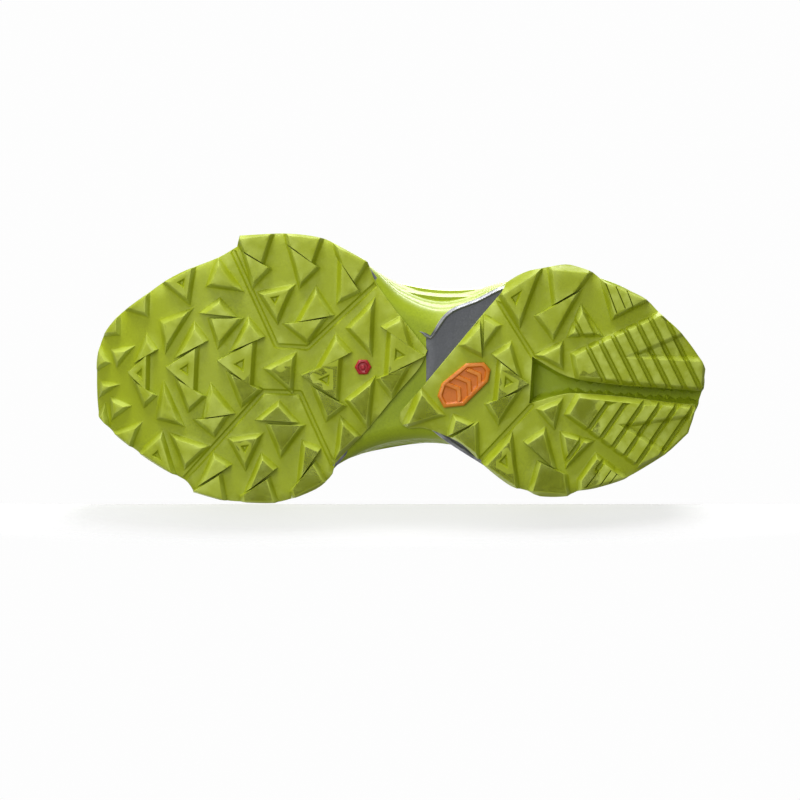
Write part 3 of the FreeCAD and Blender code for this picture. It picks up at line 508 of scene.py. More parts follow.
DIMPLES = [
    (-60, 33.2), (-1.2, 6.8), (-36, -5.2), (-76.5, 2), (-103, -0.4), (-125.3, -2.8), (-104.5, 41),
    (-117, -42), (-74.6, -37.8), (54.8, 34), (50.8, -6.2), (49.4, -44.2),
]
DIMPLE_SCALE = 0.3
ZONE_CHANNELS = [
    [(-80, 56), (-59.5, 10.9), (-44.7, 10), (-12.4, 40)],
    [(-103.7, -53), (-65.8, -11), (-48.3, -11.6), (-32.5, -46.5)],
]
HEEL_CHANNELS = [[(47.3, 31), (62.7, 6.4)], [(62.7, -17.4), (38.1, -43.8)]]
CHANNEL_HALF, CHANNEL_DEPTH = 1.5, 1.1

# Braking blocks beside the groove, the notches in their heel ends, and their ribs.
RIB_BLOCKS = [
    [(82, 6.9), (123.5, 26), (134.2, 16.2), (145, 1.5), (144.2, -9.6), (84.2, -3.6)],
    [(84.2, -13.2), (79.3, -21.8), (113.5, -46.8), (127, -40.6), (137.6, -31), (140.8, -19.2)],
]
BLOCK_NOTCHES = [
    [(107, 5.4), (136.5, 17.5), (149, 3.2), (143, 3.6)], [(105, -26.8), (138, -22.5), (142, -34), (128, -42)],
]
NOTCH_DEPTH = 2.7
LATERAL_RIBS = dict(first=(88, 12), last=(139, 12), reach=(0.45, -0.89), back=14, ahead=26, step=7.4)
MEDIAL_RIBS = dict(first=(89, -30), last=(141, -30), reach=(-0.57, -0.82), back=16, ahead=22, step=8.7)
RIB_HALF, RIB_DEPTH = 1.35, 2.4
SIPED_BLOCKS = [
    [(96.2, 41.6), (117, 32.6), (101.1, 24.4)], [(93.4, -41.7), (107.4, -52), (85.6, -57.9), (85.3, -53.2)],
]
BLOCK_SIPES = [
    ((97.5, 40.5), (102.7, 26.6)), ((102.4, 39), (106.8, 28.8)), ((107.6, 37.3), (110.4, 29.8)),
    ((96.7, -45.8), (88.5, -56.5)), ((100.3, -48.5), (95.1, -55.7)), ((103, -50.4), (99.7, -54.8)),
]
SIPE_HALF, SIPE_DEPTH = 0.28, 1.6
LUG_LEVELS = (-0.12, 0.0, 0.12, 0.8, 1.0, 1.2)
PIT_LEVELS = (0.0, 0.5, 1.0)
PIT_DEPTH = 1.5
# The pods' outer edges lift a little towards the foam.
CURL_HEIGHT, CURL_WIDTH = 1.1, 3.4
TREAD_SPACING, LINE_MARGIN = 3.2, 0.4


def rib_cuts(first, last, reach, back, ahead, step):
    """Parallel grooves across a braking block."""
    cuts = []
    count = int((last[0] - first[0]) / step) + 1
    for i in range(count):
        y, x = first[0] + i * step, first[1]
        start = (y - reach[0] * back, x - reach[1] * back)
        end = (y + reach[0] * ahead, x + reach[1] * ahead)
        cuts.append(Cut(start, end, RIB_HALF, RIB_DEPTH))
    return cuts


def channel_cuts(runs):
    """Shallow channels in the base, along runs of points."""
    return [Cut(a, b, CHANNEL_HALF, CHANNEL_DEPTH, base=True) for run in runs for a, b in zip(run, run[1:])]


def pit_in(corners, middle):
    """A small pit in a lug's top, the lug's own shape made small."""
    centre_y = sum(c[0] for c in corners) / len(corners)
    centre_x = sum(c[1] for c in corners) / len(corners)
    small = [(middle[0] + (y - centre_y) * DIMPLE_SCALE, middle[1] + (x - centre_x) * DIMPLE_SCALE)
             for y, x in corners]
    return Facet(small, lip=0.85, foot=0.05)


def clip_lines(lines, outline):
    """Keeps the stretch of each straight line that lies inside the outline."""
    kept = []
    for a, b in lines:
        shares = np.linspace(0, 1, 160)
        points = a + (b - a) * shares[:, None]
        good = inside(outline, points) & (outline_distance(outline, points) > LINE_MARGIN)
        if good.sum() > 3:
            kept.append(points[good][[0, -1]])
    return kept


def tread_pod(name, points, lug_corners, cuts, sunk, material):
    """One outsole pod: base, lugs, sipes, pits, channels and ribs as one closed relief."""
    outline = smooth_outline(points, step=2.2)
    lugs = [Facet(corners) for corners in lug_corners]
    steepen_edges(lugs, outline)
    pits = []
    for middle in DIMPLES:
        for corners, lug in zip(lug_corners, lugs):
            if lug.level(np.array([middle[::-1]]))[0] < 0.05 and len(corners) == 3:
                pits.append(pit_in(corners, middle))
                break
    outer = (np.abs(outline[:, 0]) > 22) | (outline[:, 1] < -100) | (outline[:, 1] > 120)

    def bottom(p):
        y = p[:, 1]
        edge = outline_distance(outline, p)
        apart = np.hypot(p[:, None, 0] - outline[None, :, 0], p[:, None, 1] - outline[None, :, 1])
        nearest = np.argmin(apart, axis=1)
        curl = np.where(outer[nearest], CURL_HEIGHT * (1 - np.clip(edge / CURL_WIDTH, 0, 1)) ** 2, 0)
        height = np.zeros(len(p))
        for lug in lugs:
            height = np.maximum(height, ramp(lug.level(p)))
        base = ground(y) + LUG + curl
        z = base * (1 - height) + ground(y) * height
        for pit, depth, levels in sunk_all:
            z += depth * ramp(pit.level(p)) * height
        fall = np.zeros(len(p))
        for cut in cuts:
            weight = 1 - height if cut.base else height
            fall = np.maximum(fall, cut.fall(p) * weight)
        return z + fall

    def top(p):
        return foam_bottom(p[:, 1])

    sunk_all = [(pit, PIT_DEPTH, PIT_LEVELS) for pit in pits]
    sunk_all += [(Facet(corners, 1.6, 0.4), depth, LUG_LEVELS) for corners, depth in sunk]
    loops = [lug.ring(level) for lug in lugs for level in LUG_LEVELS]
    loops += [pit.ring(level, 0.12) for pit, _, levels in sunk_all for level in levels]
    lines = clip_lines([line for cut in cuts for line in cut.lines()], outline)
    loops = [loop for loop in loops if loop is not None]
    return relief(name, outline, loops, lines, bottom, top, TREAD_SPACING, material)


def build_forefoot_outsole(material):
    """Forefoot pod with its lugs and zone channels."""
    pod = tread_pod("forefoot_tread", FOREFOOT_POD, FOREFOOT_LUGS, channel_cuts(ZONE_CHANNELS), [], material)
    place(pod, "shoe", "outsole_rubber", "forefoot_outsole")


def build_heel_outsole(material):
    """Heel pod with its lugs, siped blocks and ribbed braking blocks."""
    cuts = channel_cuts(HEEL_CHANNELS)
    cuts += rib_cuts(**LATERAL_RIBS) + rib_cuts(**MEDIAL_RIBS)
    cuts += [Cut(a, b, SIPE_HALF, SIPE_DEPTH) for a, b in BLOCK_SIPES]
    sunk = [(corners, NOTCH_DEPTH) for corners in BLOCK_NOTCHES]
    lugs = HEEL_LUGS + SIPED_BLOCKS + RIB_BLOCKS
    pod = tread_pod("heel_tread", HEEL_POD, lugs, cuts, sunk, material)
    place(pod, "shoe", "outsole_rubber", "heel_outsole")


# ---------------------------------------------------------------- materials

def linear(colour):
    """A colour given as 0-255 display values, in the shader's linear values."""
    parts = [c / 255 for c in colour]
    return tuple(c / 12.92 if c <= 0.04045 else ((c + 0.055) / 1.055) ** 2.4 for c in parts)


class Look:
    """One procedural material: a principled shader, and the nodes that vary it."""

    def __init__(self, name, colour, roughness, **sockets):
        self.mat = bpy.data.materials.new(name)
        self.mat.use_nodes = True
        self.tree = self.mat.node_tree
        self.shader = self.tree.nodes["Principled BSDF"]
        self.shader.inputs["Base Color"].default_value = (*linear(colour), 1)
        self.shader.inputs["Roughness"].default_value = roughness
        for key, value in sockets.items():
            self.shader.inputs[key.replace("_", " ")].default_value = value
        self.normal = None

    def node(self, kind, **values):
        """A new node; each value is a property or a socket."""
        made = self.tree.nodes.new("ShaderNode" + kind)
        for key, value in values.items():
            if hasattr(made, key):
                setattr(made, key, value)
            else:
                made.inputs[key.replace("_", " ")].default_value = value
        return made

    def link(self, source, target):
        self.tree.links.new(source, target)

    def place(self, source="Object", scale=1000.0):
        """Coordinates in millimetres from the object, or from UVs that are already in millimetres."""
        coordinates = self.node("TexCoord")
        mapping = self.node("Mapping", Scale=(scale,) * 3)
        self.link(coordinates.outputs[source], mapping.inputs["Vector"])
        return mapping.outputs["Vector"]

    def noise(self, size, detail=3.0):
        """Noise with features of a size in millimetres."""
        made = self.node("TexNoise", Scale=1.0 / size, Detail=detail)
        self.link(self.place(), made.inputs["Vector"])
        return made.outputs["Fac"]

    def ramp(self, source, stops):
        """A colour or grey ramp; stops are (position, 0-255 colour or grey 0-1)."""
        made = self.node("ValToRGB")
        made.color_ramp.interpolation = "EASE"
        bar = made.color_ramp.elements
        while len(bar) < len(stops):
            bar.new(0.5)
        for element, (position, value) in zip(bar, stops):
            element.position = position
            grey = isinstance(value, (int, float))
            element.color = (value, value, value, 1) if grey else (*linear(value), 1)
        self.link(source, made.inputs["Fac"])
        return made.outputs["Color"]

    def colours(self, source, stops):
        """The base colour from a ramp."""
        self.link(self.ramp(source, stops), self.shader.inputs["Base Color"])

    def overlay(self, base, top, share):
        """Mixes one colour over another by a grey."""
        made = self.node("Mix", data_type="RGBA")
        self.link(share, made.inputs[0])
        self.link(base, made.inputs[6])
        self.link(top, made.inputs[7])
        return made.outputs[2]

    def math(self, operation, a, b):
        """Two numbers or sockets through a Math node."""
        made = self.node("Math", operation=operation)
        for socket, value in zip(made.inputs, (a, b)):
            if isinstance(value, (int, float)):
                socket.default_value = value
            else:
                self.link(value, socket)
        return made.outputs["Value"]

    def bump(self, source, height_mm):
        """Adds relief on top of the relief so far."""
        made = self.node("Bump", Strength=1.0, Distance=height_mm * MM)
        self.link(source, made.inputs["Height"])
        if self.normal:
            self.link(self.normal, made.inputs["Normal"])
        self.normal = made.outputs["Normal"]
        self.link(self.normal, self.shader.inputs["Normal"])

    def rough(self, source, low, high):
        """Varies the roughness between two values."""
        made = self.node("MapRange", To_Min=low, To_Max=high)
        self.link(source, made.inputs["Value"])
        self.link(made.outputs["Result"], self.shader.inputs["Roughness"])


def moulded(name, shades, roughness, grain=0.35, grain_height=0.05, worn=None, **sockets):
    """Rubber, foam or plastic from a mould: cloudy colour, fine grain, convex edges lighter, partly rubbed
    wear and partly a painted highlight.
    """
    look = Look(name, shades[1], roughness, **sockets)
    broad = look.math("MULTIPLY", look.noise(45.0, 2.0), 0.6)
    cloud = look.math("ADD", broad, look.math("MULTIPLY", look.noise(0.9), 0.4))
    base = look.ramp(cloud, [(0.28, shades[0]), (0.5, shades[1]), (0.74, shades[2])])
    # Convex edges are lightened towards the edge colour, broken up by noise: partly rubbed wear, partly a
    # painted highlight where edges catch the light.
    if worn:
        edge = look.ramp(look.node("NewGeometry").outputs["Pointiness"], [(0.5, 0.0), (0.56, 0.75)])
        light = look.node("RGB")
        light.outputs[0].default_value = (*linear(worn), 1)
        scuff_and_highlight = look.math("MULTIPLY", edge, look.ramp(look.noise(6.0, 4.0), [(0.35, 0.35), (0.6, 1.0)]))
        base = look.overlay(base, light.outputs[0], scuff_and_highlight)
    look.link(base, look.shader.inputs["Base Color"])
    look.rough(look.noise(3.0, 4.0), roughness - 0.07, roughness + 0.09)
    look.bump(look.noise(5.0, 2.0), grain_height * 2.5)
    look.bump(look.noise(grain, 2.0), grain_height)
    return look


# Scale of a wave texture with one band to a unit of length.
WAVES_PER_MM = 0.314


def woven(name, shades, roughness, across, along_way, height, source="UV", **sockets):
    """Textile: crossing yarns at a real pitch, fine fuzz, cloudy dye."""
    look = Look(name, shades[1], roughness, **sockets)
    where = look.place(source, 1.0 if source == "UV" else 1000.0)
    waves = []
    for direction, pitch in (("X", across), ("Y", along_way)):
        wave = look.node("TexWave", wave_type="BANDS", bands_direction=direction, Scale=WAVES_PER_MM / pitch,
                         Distortion=0.6, Detail=1.0, Detail_Scale=2.0)
        look.link(where, wave.inputs["Vector"])
        waves.append(wave)
    one, two = waves
    weave = look.math("MAXIMUM", one.outputs["Fac"], two.outputs["Fac"])
    pores = look.math("MULTIPLY", one.outputs["Fac"], two.outputs["Fac"])
    yarn = look.math("ADD", look.math("MULTIPLY", weave, 0.6), look.math("MULTIPLY", pores, 0.4))
    mixed = look.math("ADD", look.math("MULTIPLY", yarn, 0.6), look.math("MULTIPLY", look.noise(9.0), 0.4))
    look.colours(mixed, [(0.25, shades[0]), (0.5, shades[1]), (0.75, shades[2])])
    look.bump(look.noise(0.5), height * 0.3)
    look.bump(yarn, height)
    return look


# Each moulded material: its shades from dark to light, its roughness, and what else it has; its edge colour
# lightens convex edges as rubbed wear and as a painted highlight.
MOULDED = {
    "outsole_rubber": dict(shades=((132, 145, 8), (146, 159, 14), (156, 169, 24)), roughness=0.5,
                           worn=(180, 194, 84), Specular_IOR_Level=0.36),
    "midsole_foam": dict(shades=((130, 148, 10), (144, 162, 18), (154, 173, 30)), roughness=0.52,
                         grain=0.9, grain_height=0.06, Specular_IOR_Level=0.35),
    "badge_rubber": dict(shades=((172, 88, 0), (194, 102, 2), (206, 116, 8)), roughness=0.42,
                         worn=(214, 138, 36)),
    "plug_rubber": dict(shades=((106, 0, 8), (134, 0, 14), (150, 4, 22)), roughness=0.4, worn=(180, 30, 44)),
    "plate_plastic": dict(shades=((66, 68, 72), (82, 84, 88), (100, 102, 107)), roughness=0.38, grain=0.6,
                          grain_height=0.04, worn=(206, 207, 214), Metallic=0.35),
    "toe_tab_plastic": dict(shades=((196, 104, 4), (216, 118, 8), (228, 132, 22)), roughness=0.4),
    "overlay_film": dict(shades=((136, 152, 26), (154, 172, 36), (168, 184, 50)), roughness=0.4, grain=0.8,
                         worn=(190, 204, 96)),
    "moulded_overlay": dict(shades=((126, 142, 22), (144, 162, 30), (158, 174, 42)), roughness=0.46,
                            grain=0.6, worn=(186, 200, 92)),
    "eyelet_metal": dict(shades=((70, 72, 76), (96, 98, 104), (120, 122, 128)), roughness=0.32, grain=0.4,
                         grain_height=0.02, worn=(180, 182, 188), Metallic=0.9),
    "aglet_plastic": dict(shades=((190, 98, 4), (214, 116, 10), (230, 134, 26)), roughness=0.3),
    "label_plastic": dict(shades=((40, 42, 44), (56, 58, 60), (74, 76, 78)), roughness=0.45,
                          worn=(110, 112, 114)),
    "stiffener": dict(shades=((196, 194, 186), (210, 208, 200), (222, 220, 212)), roughness=0.6),
}
# Each textile: also its yarns' pitch across and along in millimetres, and the height of their relief.
WOVEN = {
    "upper_mesh": dict(shades=((112, 128, 22), (162, 180, 44), (186, 202, 72)), roughness=0.72,
                       across=1.6, along_way=1.3, height=0.35, Sheen_Weight=0.15),
    "tongue_textile": dict(shades=((104, 120, 20), (150, 168, 40), (176, 192, 64)), roughness=0.78,
                           across=1.1, along_way=1.1, height=0.25, Sheen_Weight=0.2),
    "lining_textile": dict(shades=((38, 42, 20), (58, 62, 30), (78, 84, 44)), roughness=0.85,
                           across=0.9, along_way=0.9, height=0.2, Sheen_Weight=0.25),
    "board_textile": dict(shades=((150, 150, 140), (176, 176, 166), (196, 196, 186)), roughness=0.9,
                          across=0.8, along_way=0.8, height=0.15, source="Object"),
    "sockliner_textile": dict(shades=((34, 36, 34), (52, 54, 50), (70, 72, 66)), roughness=0.88,
                              across=0.8, along_way=0.8, height=0.18, source="Object", Sheen_Weight=0.2),
    "lace_textile": dict(shades=((128, 142, 30), (176, 192, 60), (204, 216, 96)), roughness=0.7,
                         across=0.8, along_way=0.7, height=0.25, Sheen_Weight=0.15),
    "webbing": dict(shades=((150, 70, 4), (206, 108, 10), (232, 140, 34)), roughness=0.7,
                    across=0.9, along_way=0.9, height=0.3),
}


# ---------------------------------------------------------------- the foot's surface, as in the CAD

# Stations from the centre of the heel along the lateral side, round the toe and back:
# feather x, y; topline x, y, z; how far the surface leaves the topline outward and downward.
STATIONS = np.array([
    (-6, 137.5, -5, 135, 119, 5, 24), (13, 128, 9, 130, 117, 5, 24), (26, 107, 19, 112, 110, 5, 22),
    (32, 80, 26, 86, 101, 5, 20), (31, 48, 27, 58, 100, 6, 18), (30, 18, 22, 34, 104, 9, 14),
    (36, -12, 15.5, 12, 101, 12, 9), (45, -42, 13, -14, 93, 14, 7), (45, -70, 11.5, -38, 85, 15, 6),
    (37, -89, 9, -56, 79.5, 18, 6), (24.5, -112, 4.5, -66, 76.5, 26, 7), (5, -130.5, -0.5, -69, 75.5, 34, 8),
    (-12, -137, -4, -69.5, 75.5, 36, 8), (-30, -122, -8, -67, 76.5, 28, 7), (-41, -99, -11.5, -58, 79, 19, 6),
    (-45, -74, -13.5, -40, 85, 14, 6), (-45, -45, -15, -15, 93, 13, 7), (-37, -15, -18, 11, 101, 11, 9),
    (-32.5, 15, -25, 33, 104, 8, 14), (-34, 45, -30, 57, 100, 6, 18), (-38, 75, -31, 85, 101, 5, 20),
    (-38, 104, -28, 111, 110, 5, 22), (-25, 128, -18, 129, 117, 5, 24),
], float)
COUNT = len(STATIONS)
# The spine runs down the foot's middle; outward directions point away from it.
SPINE_X, SPINE_TOE, SPINE_HEEL = -3.0, -85.0, 95.0
FEATHER_RISE, FEATHER_OUT = 26.0, 3.0
COLLAR_PAD = 6.0
OVERLAY_OUT = 5.15


def station(s):
    """Smooth values of the station table at positions s, counted round the shoe."""
    s = np.asarray(s, float)
    i = np.floor(s).astype(int)
    f = (s - i)[..., None]
    a, b, c, d = (STATIONS[(i + k) % COUNT] for k in (-1, 0, 1, 2))
    return b + 0.5 * f * (c - a + f * (2 * a - 5 * b + 4 * c - d + f * (3 * (b - c) + d - a)))


def feather_and_out(s):
    """The feather line's points, and the level directions away from the spine there."""
    row = station(s)
    foot = np.stack([row[..., 0], row[..., 1], along(FEATHER_HEIGHT, row[..., 1])], axis=-1)
    out = np.stack([row[..., 0] - SPINE_X, row[..., 1] - np.clip(row[..., 1], SPINE_TOE, SPINE_HEEL),
                    np.zeros_like(row[..., 0])], axis=-1)
    return foot, out / np.linalg.norm(out, axis=-1, keepdims=True)


def skin_point(s, t):
    """Points of the foot's surface: t runs from the feather line (0) to the topline (1)."""
    s, t = np.broadcast_arrays(np.asarray(s, float), np.asarray(t, float))
    row = station(s)
    foot, out = feather_and_out(s)
    top = row[..., 2:5]
    up = np.array([0, 0, 1.0])
    low = foot + out * FEATHER_OUT + up * FEATHER_RISE
    high = top + out * row[..., 5:6] - up * row[..., 6:7]
    t = t[..., None]
    r = 1 - t
    return foot * r**3 + low * (3 * r * r * t) + high * (3 * r * t * t) + top * t**3


def skin_normal(s, t):
    """Outward directions of the foot's surface."""
    s, t = np.broadcast_arrays(np.asarray(s, float), np.asarray(t, float))
    around = skin_point(s + 0.05, t) - skin_point(s - 0.05, t)
    up = skin_point(s, np.minimum(t + 0.02, 1.0)) - skin_point(s, np.maximum(t - 0.02, 0.0))
    normal = np.cross(up, around)
    return normal / np.maximum(np.linalg.norm(normal, axis=-1, keepdims=True), 1e-9)


def skin(s, t, offset):
    """Points of the foot's surface moved outward by offset."""
    return skin_point(s, t) + skin_normal(s, t) * np.asarray(offset, float)[..., None]


def height_on_skin(s, z_of_y, offset):
    """The t at which the offset surface reaches a height given as a function of y."""
    s = np.asarray(s, float)
    low, high = np.zeros_like(s), np.full_like(s, 0.9)
    for _ in range(22):
        t = (low + high) / 2
        p = skin(s, t, np.full_like(t, offset))
        below = p[..., 2] < z_of_y(p[..., 1])
        low, high = np.where(below, t, low), np.where(below, high, t)
    return high


# ---------------------------------------------------------------- midsole, plate and inserts

MIDSOLE_FOOT = [
    (146, -3), (133, 17), (112, 36), (90, 45), (70, 47.5), (50, 40.5), (34, 29), (18, 25), (0, 33),
    (-16, 50), (-40, 61), (-65, 63), (-92, 50.5), (-120, 35), (-140, 18), (-146.5, -6), (-144, -26),
    (-124, -41.5), (-98, -58), (-70, -63.5), (-46, -60), (-30, -46), (-8, -35), (16, -33), (36, -41),
    (58, -57.5), (80, -60), (106, -53), (128, -40), (142, -21),
]
MIDSOLE_RIM = [
    (146, -4), (136, 15), (116, 31), (93, 40), (70, 41), (50, 40), (32, 38), (14, 39), (-5, 43.5),
    (-24, 49), (-44, 53), (-66, 53.5), (-90, 45.5), (-114, 32), (-134, 14), (-146, -6), (-142, -25),
    (-124, -39.5), (-100, -49), (-74, -53), (-50, -53), (-28, -48.5), (-6, -43.5), (14, -41.5),
    (35, -42.5), (57, -45), (80, -47), (105, -46), (128, -37), (142, -21),
]
FOOT_LEVEL, RIM_LEVEL = 2.0, 58.0
WALL_ROWS = 34
HEEL_CHANNEL = [
    Facet([(62.7, 5.9), (84, -4.2), (84, -12.3), (61.2, -17.2)], lip=2.4, foot=0.4),
    Facet([(78, -3.4), (153, -11.2), (153, -18.8), (78, -12.6)], lip=1.8, foot=0.4),
]
CHANNEL_DEEP = 7.5
# Long sculpted grooves in the foam's side: (height share at the waist, rise towards the ends, depth)
WALL_GROOVES = [(0.26, 0.10, 0.9), (0.50, 0.16, 1.0), (0.74, 0.12, 0.8)]
# Above each groove the wall steps in: shares of its height for the groove, the step's start, length and end.
GROOVE_HALF, STEP_START, STEP_LENGTH, STEP_END = 0.055, 0.16, 0.34, 0.18


def foam_bottom(y):
    """Height of the foam's underside, level with the top of the rubber."""
    return ground(y) + FOAM_BOTTOM


def ray_reach(origin, direction, outline):
    """How far along its line each point meets a closed outline, negative where the outline lies behind it."""
    a = outline
    d = np.roll(outline, -1, axis=0) - outline
    ox, oy = origin[:, :1], origin[:, 1:2]
    dx, dy = direction[:, :1], direction[:, 1:2]
    det = dx * d[:, 1] - dy * d[:, 0]
    det = np.where(np.abs(det) < 1e-9, 1e-9, det)
    reach = ((a[:, 0] - ox) * d[:, 1] - (a[:, 1] - oy) * d[:, 0]) / det
    share = ((a[:, 0] - ox) * dy - (a[:, 1] - oy) * dx) / det
    hit = (share >= -1e-6) & (share <= 1 + 1e-6)
    nearest = np.abs(np.where(hit, reach, 1e9)).argmin(axis=1)
    return reach[np.arange(len(reach)), nearest]


def channel_rise(points):
    """How far the heel's channel hollows the foam at each point."""
    rise = np.zeros(len(points))
    for facet in HEEL_CHANNEL:
        rise = np.maximum(rise, CHANNEL_DEEP * ramp(facet.level(points)))
    return rise


def waist_share(y):
    """1 at the waist, 0 at the ball and the heel."""
    return smooth((y + 42) / 26) * smooth((52 - y) / 24)


def foam_under(points):
    """Underside of the foam: level with the rubber, hollowed by the heel's channel."""
    return foam_bottom(points[:, 1]) + channel_rise(points)


def wall_carve(y, share, lateral):
    """How deep the side grooves cut, by place along the shoe and share of the wall's height."""
    depth = np.zeros(np.broadcast(y, share).shape)
    reach = np.clip(np.abs(y - 8) / 110, 0, 1)
    fade = 0.45 + 0.55 * (1 - smooth(reach * 2.2))
    for level, rise, deep in WALL_GROOVES:
        line = level + rise * (reach * 1.6) ** 2 * (0.8 - level) * 2
        near = np.clip(1 - np.abs(share - line) / GROOVE_HALF, 0, 1)
        step = np.clip((share - line) / STEP_START, 0, 1)
        step = step * np.clip((line + STEP_LENGTH - share) / STEP_END, 0, 1) * (share > line)
        depth = np.maximum(depth, deep * fade * (near**0.7 + 0.45 * step))
    return depth * np.where(lateral, 1.0, 0.8)


def build_midsole(material):
    """Sculpted foam: hollowed below, grooved side, rounded rim that cups the upper."""
    columns = 24 * COUNT
    s = np.arange(columns) * COUNT / columns
    foot, out = feather_and_out(s)
    plan, way = foot[:, :2], out[:, :2]
    foot_reach = ray_reach(plan, way, smooth_outline(MIDSOLE_FOOT, 1.5, 180))
    rim_reach = ray_reach(plan, way, smooth_outline(MIDSOLE_RIM, 1.5, 180))
    lateral = (s > 0) & (s < 11.7)

    def ring(reach, z):
        return np.column_stack([plan + way * reach[:, None], z])

    def wall(inset, z):
        share = (z - FOOT_LEVEL) / (RIM_LEVEL - FOOT_LEVEL)
        return ring(foot_reach + (rim_reach - foot_reach) * share - inset, z)

    y_low = plan[:, 1] + way[:, 1] * foot_reach
    y_top = plan[:, 1] + way[:, 1] * rim_reach
    z_low = foam_bottom(y_low)
    z_top = along(FOAM_TOP, y_top)
    soft = 1.6 + 5.5 * waist_share(y_low)
    rings = []
    for degrees in (0, 15, 35, 55, 75):
        turn = math.radians(degrees)
        z = z_low + soft * (1 - math.cos(turn))
        rings.append(wall(soft * (1 - math.sin(turn)), z))
    rim_t = height_on_skin(s, lambda y: along(FOAM_TOP, y), MESH_OUT)
    inner_top = skin(s, rim_t, np.full(columns, MESH_OUT + 0.1))
    inner_reach = np.sum((inner_top[:, :2] - plan) * way, axis=1)
    edge = np.minimum(1.7, 0.42 * np.maximum(rim_reach - inner_reach, 0.6))
    start, end = z_low + soft, z_top - edge
    for k in range(WALL_ROWS):
        z = start + (end - start) * k / (WALL_ROWS - 1)
        share = (z - z_low) / (z_top - z_low)
        rings.append(wall(wall_carve(y_top, share, lateral), z))
    for degrees in (30, 60, 90):
        turn = math.radians(degrees)
        z = end + edge * math.sin(turn)
        rings.append(wall(edge * (1 - math.cos(turn)), z))
    for degrees in (90, 40):
        turn = math.radians(degrees)
        z = end + edge * math.sin(turn)
        rings.append(ring(inner_reach + edge * (1 - math.cos(turn)), z))
    for share in (0.5, 0.0):
        z = foot[:, 2] - 1.6 + (end - foot[:, 2]) * share
        rings.append(ring(np.minimum(inner_reach, 3.4 + 1.6 * share), z))
    for row in rings:
        hollow = np.where(channel_rise(row[:, :2]) > 0, foam_under(row[:, :2]), 0)
        row[:, 2] = np.maximum(row[:, 2], hollow)
    outline = rings[0][:, :2][::-1]
    flat, faces = triangulate(outline, [], [], 2.4)
    loop = boundary_loop(faces)
    bottom = np.column_stack([flat, foam_under(flat)])
    nearest = [int(np.argmin(np.hypot(*(rings[0][:, :2] - flat[v]).T))) for v in loop]
    merged = {v: n for v, n in zip(loop, nearest)}
    extra = [v for v in range(len(flat)) if v not in merged]
    index = {v: columns * len(rings) + n for n, v in enumerate(extra)}
    index.update(merged)
    verts = np.vstack(rings + [bottom[extra]])
    quads = [tuple(index[v] for v in face)[::-1] for face in faces]
    for r in range(len(rings) - 1):
        for i in range(columns):
            j = (i + 1) % columns
            quads.append((r * columns + i, (r + 1) * columns + i, (r + 1) * columns + j, r * columns + j))
    last = (len(rings) - 1) * columns
    quads.append(tuple(last + i for i in range(columns)))
    foam = mesh_object("midsole_foam", verts, quads, material, sharp=40)
    fix_normals(foam)
    return place(foam, "shoe", "midsole_foam", "midsole")


PLATE = [
    (-16, 49), (-8, 38), (2, 24), (14, 15.5), (22.5, 27), (36, 33), (50, 39.5), (64, 40), (74, 30), (74, -40),
    (64, -54), (52, -54), (40, -46.5), (28, -39), (20, -33.5), (6, -22), (-14, -27), (-31, -46.5), (-36, -52),
    (-52, -50), (-52, 46),
]
PLATE_THICKNESS, PLATE_PROUD = 1.6, 0.25
# The plate dives under the rubber, deeper at its heel end, and has a raised lip along its edge.
PLATE_DIVE, END_DIVE, END_START = 1.6, 9.0, 55
LIP_HEIGHT, LIP_HALF = 0.7, 0.9


def build_plate(material):
    """Stiff plate let into the foam, with a raised edge where it shows at the waist."""
    outline = smooth_outline(PLATE, 2.0, 30)

    def dive(y):
        return along([(-30, 0), (-20, 1), (4, 1), (13, 0)], y)

    def sunk(p):
        return PLATE_DIVE * dive(p[:, 1]) + END_DIVE * smooth((p[:, 1] - END_START) / 6)

    def bottom(p):
        edge = outline_distance(outline, p)
        lip = np.clip(1 - np.abs(edge - LIP_HALF) / LIP_HALF, 0, 1)
        return foam_bottom(p[:, 1]) + sunk(p) - PLATE_PROUD - LIP_HEIGHT * lip

    def top(p):
        return foam_bottom(p[:, 1]) + sunk(p) + PLATE_THICKNESS

    rings = [inset_outline(outline, inset) for inset in (0.4, 0.9, 1.4, 1.9)]
    plate = relief("shank_plate_moulding", outline, rings, [], bottom, top, 3.5, material, 0.3)
    place(plate, "shoe", "plate_plastic", "shank_plate")


def inset_outline(outline, inset):
    """A closed run moved inward, without the points that a corner swallows."""
    x, y = outline[:, 0], outline[:, 1]
    area = np.sum(x * np.roll(y, -1) - np.roll(x, -1) * y)
    moved = outline - outward(outline) * inset * np.sign(area)
    keep = outline_distance(outline, moved) > inset * 0.93
    return moved[keep]


BADGE = [(31, 2.5), (39.5, 3), (42.5, -0.5), (41.5, -6), (30, -17.5), (20.5, -18.5), (17.5, -13), (19.5, -7)]
BADGE_DEPTH, PLUG_DEPTH = 2.2, 1.6
PLUG_PLACE, PLUG_RADIUS = (-18.2, 0.8), 3.9


def build_insert(name, corners, depth, rim, sunk, mark, material, slot, node, spacing):
    """A plate let into the tread: a rounded rim, a sunk field and a plain raised mark."""
    outline = smooth_outline(corners, 1.2, 20)
    rings = [inset_outline(outline, share) for share in (0.25, 0.6, rim, rim + 0.35, rim + 0.7)]
    marks = [Facet(bar, 0.25, 0.25) for bar in mark]
    loops = rings + [bar.ring(level, 0.15) for bar in marks for level in (0.0, 1.0)]

    def bottom(p):
        edge = outline_distance(outline, p)
        rounded = 0.5 * (1 - np.clip(edge / 0.6, 0, 1)) ** 2
        field = sunk * smooth((edge - rim) / 0.7)
        raised = np.zeros(len(p))
        for bar in marks:
            raised = np.maximum(raised, ramp(bar.level(p)))
        return ground(p[:, 1]) + LUG - depth + rounded + field * (1 - raised * 0.85)

    def top(p):
        return ground(p[:, 1]) + LUG + 0.05

    loops = [loop for loop in loops if loop is not None]
    insert = relief(name, outline, loops, [], bottom, top, spacing, material, 0.15)
    place(insert, "shoe", slot, node)


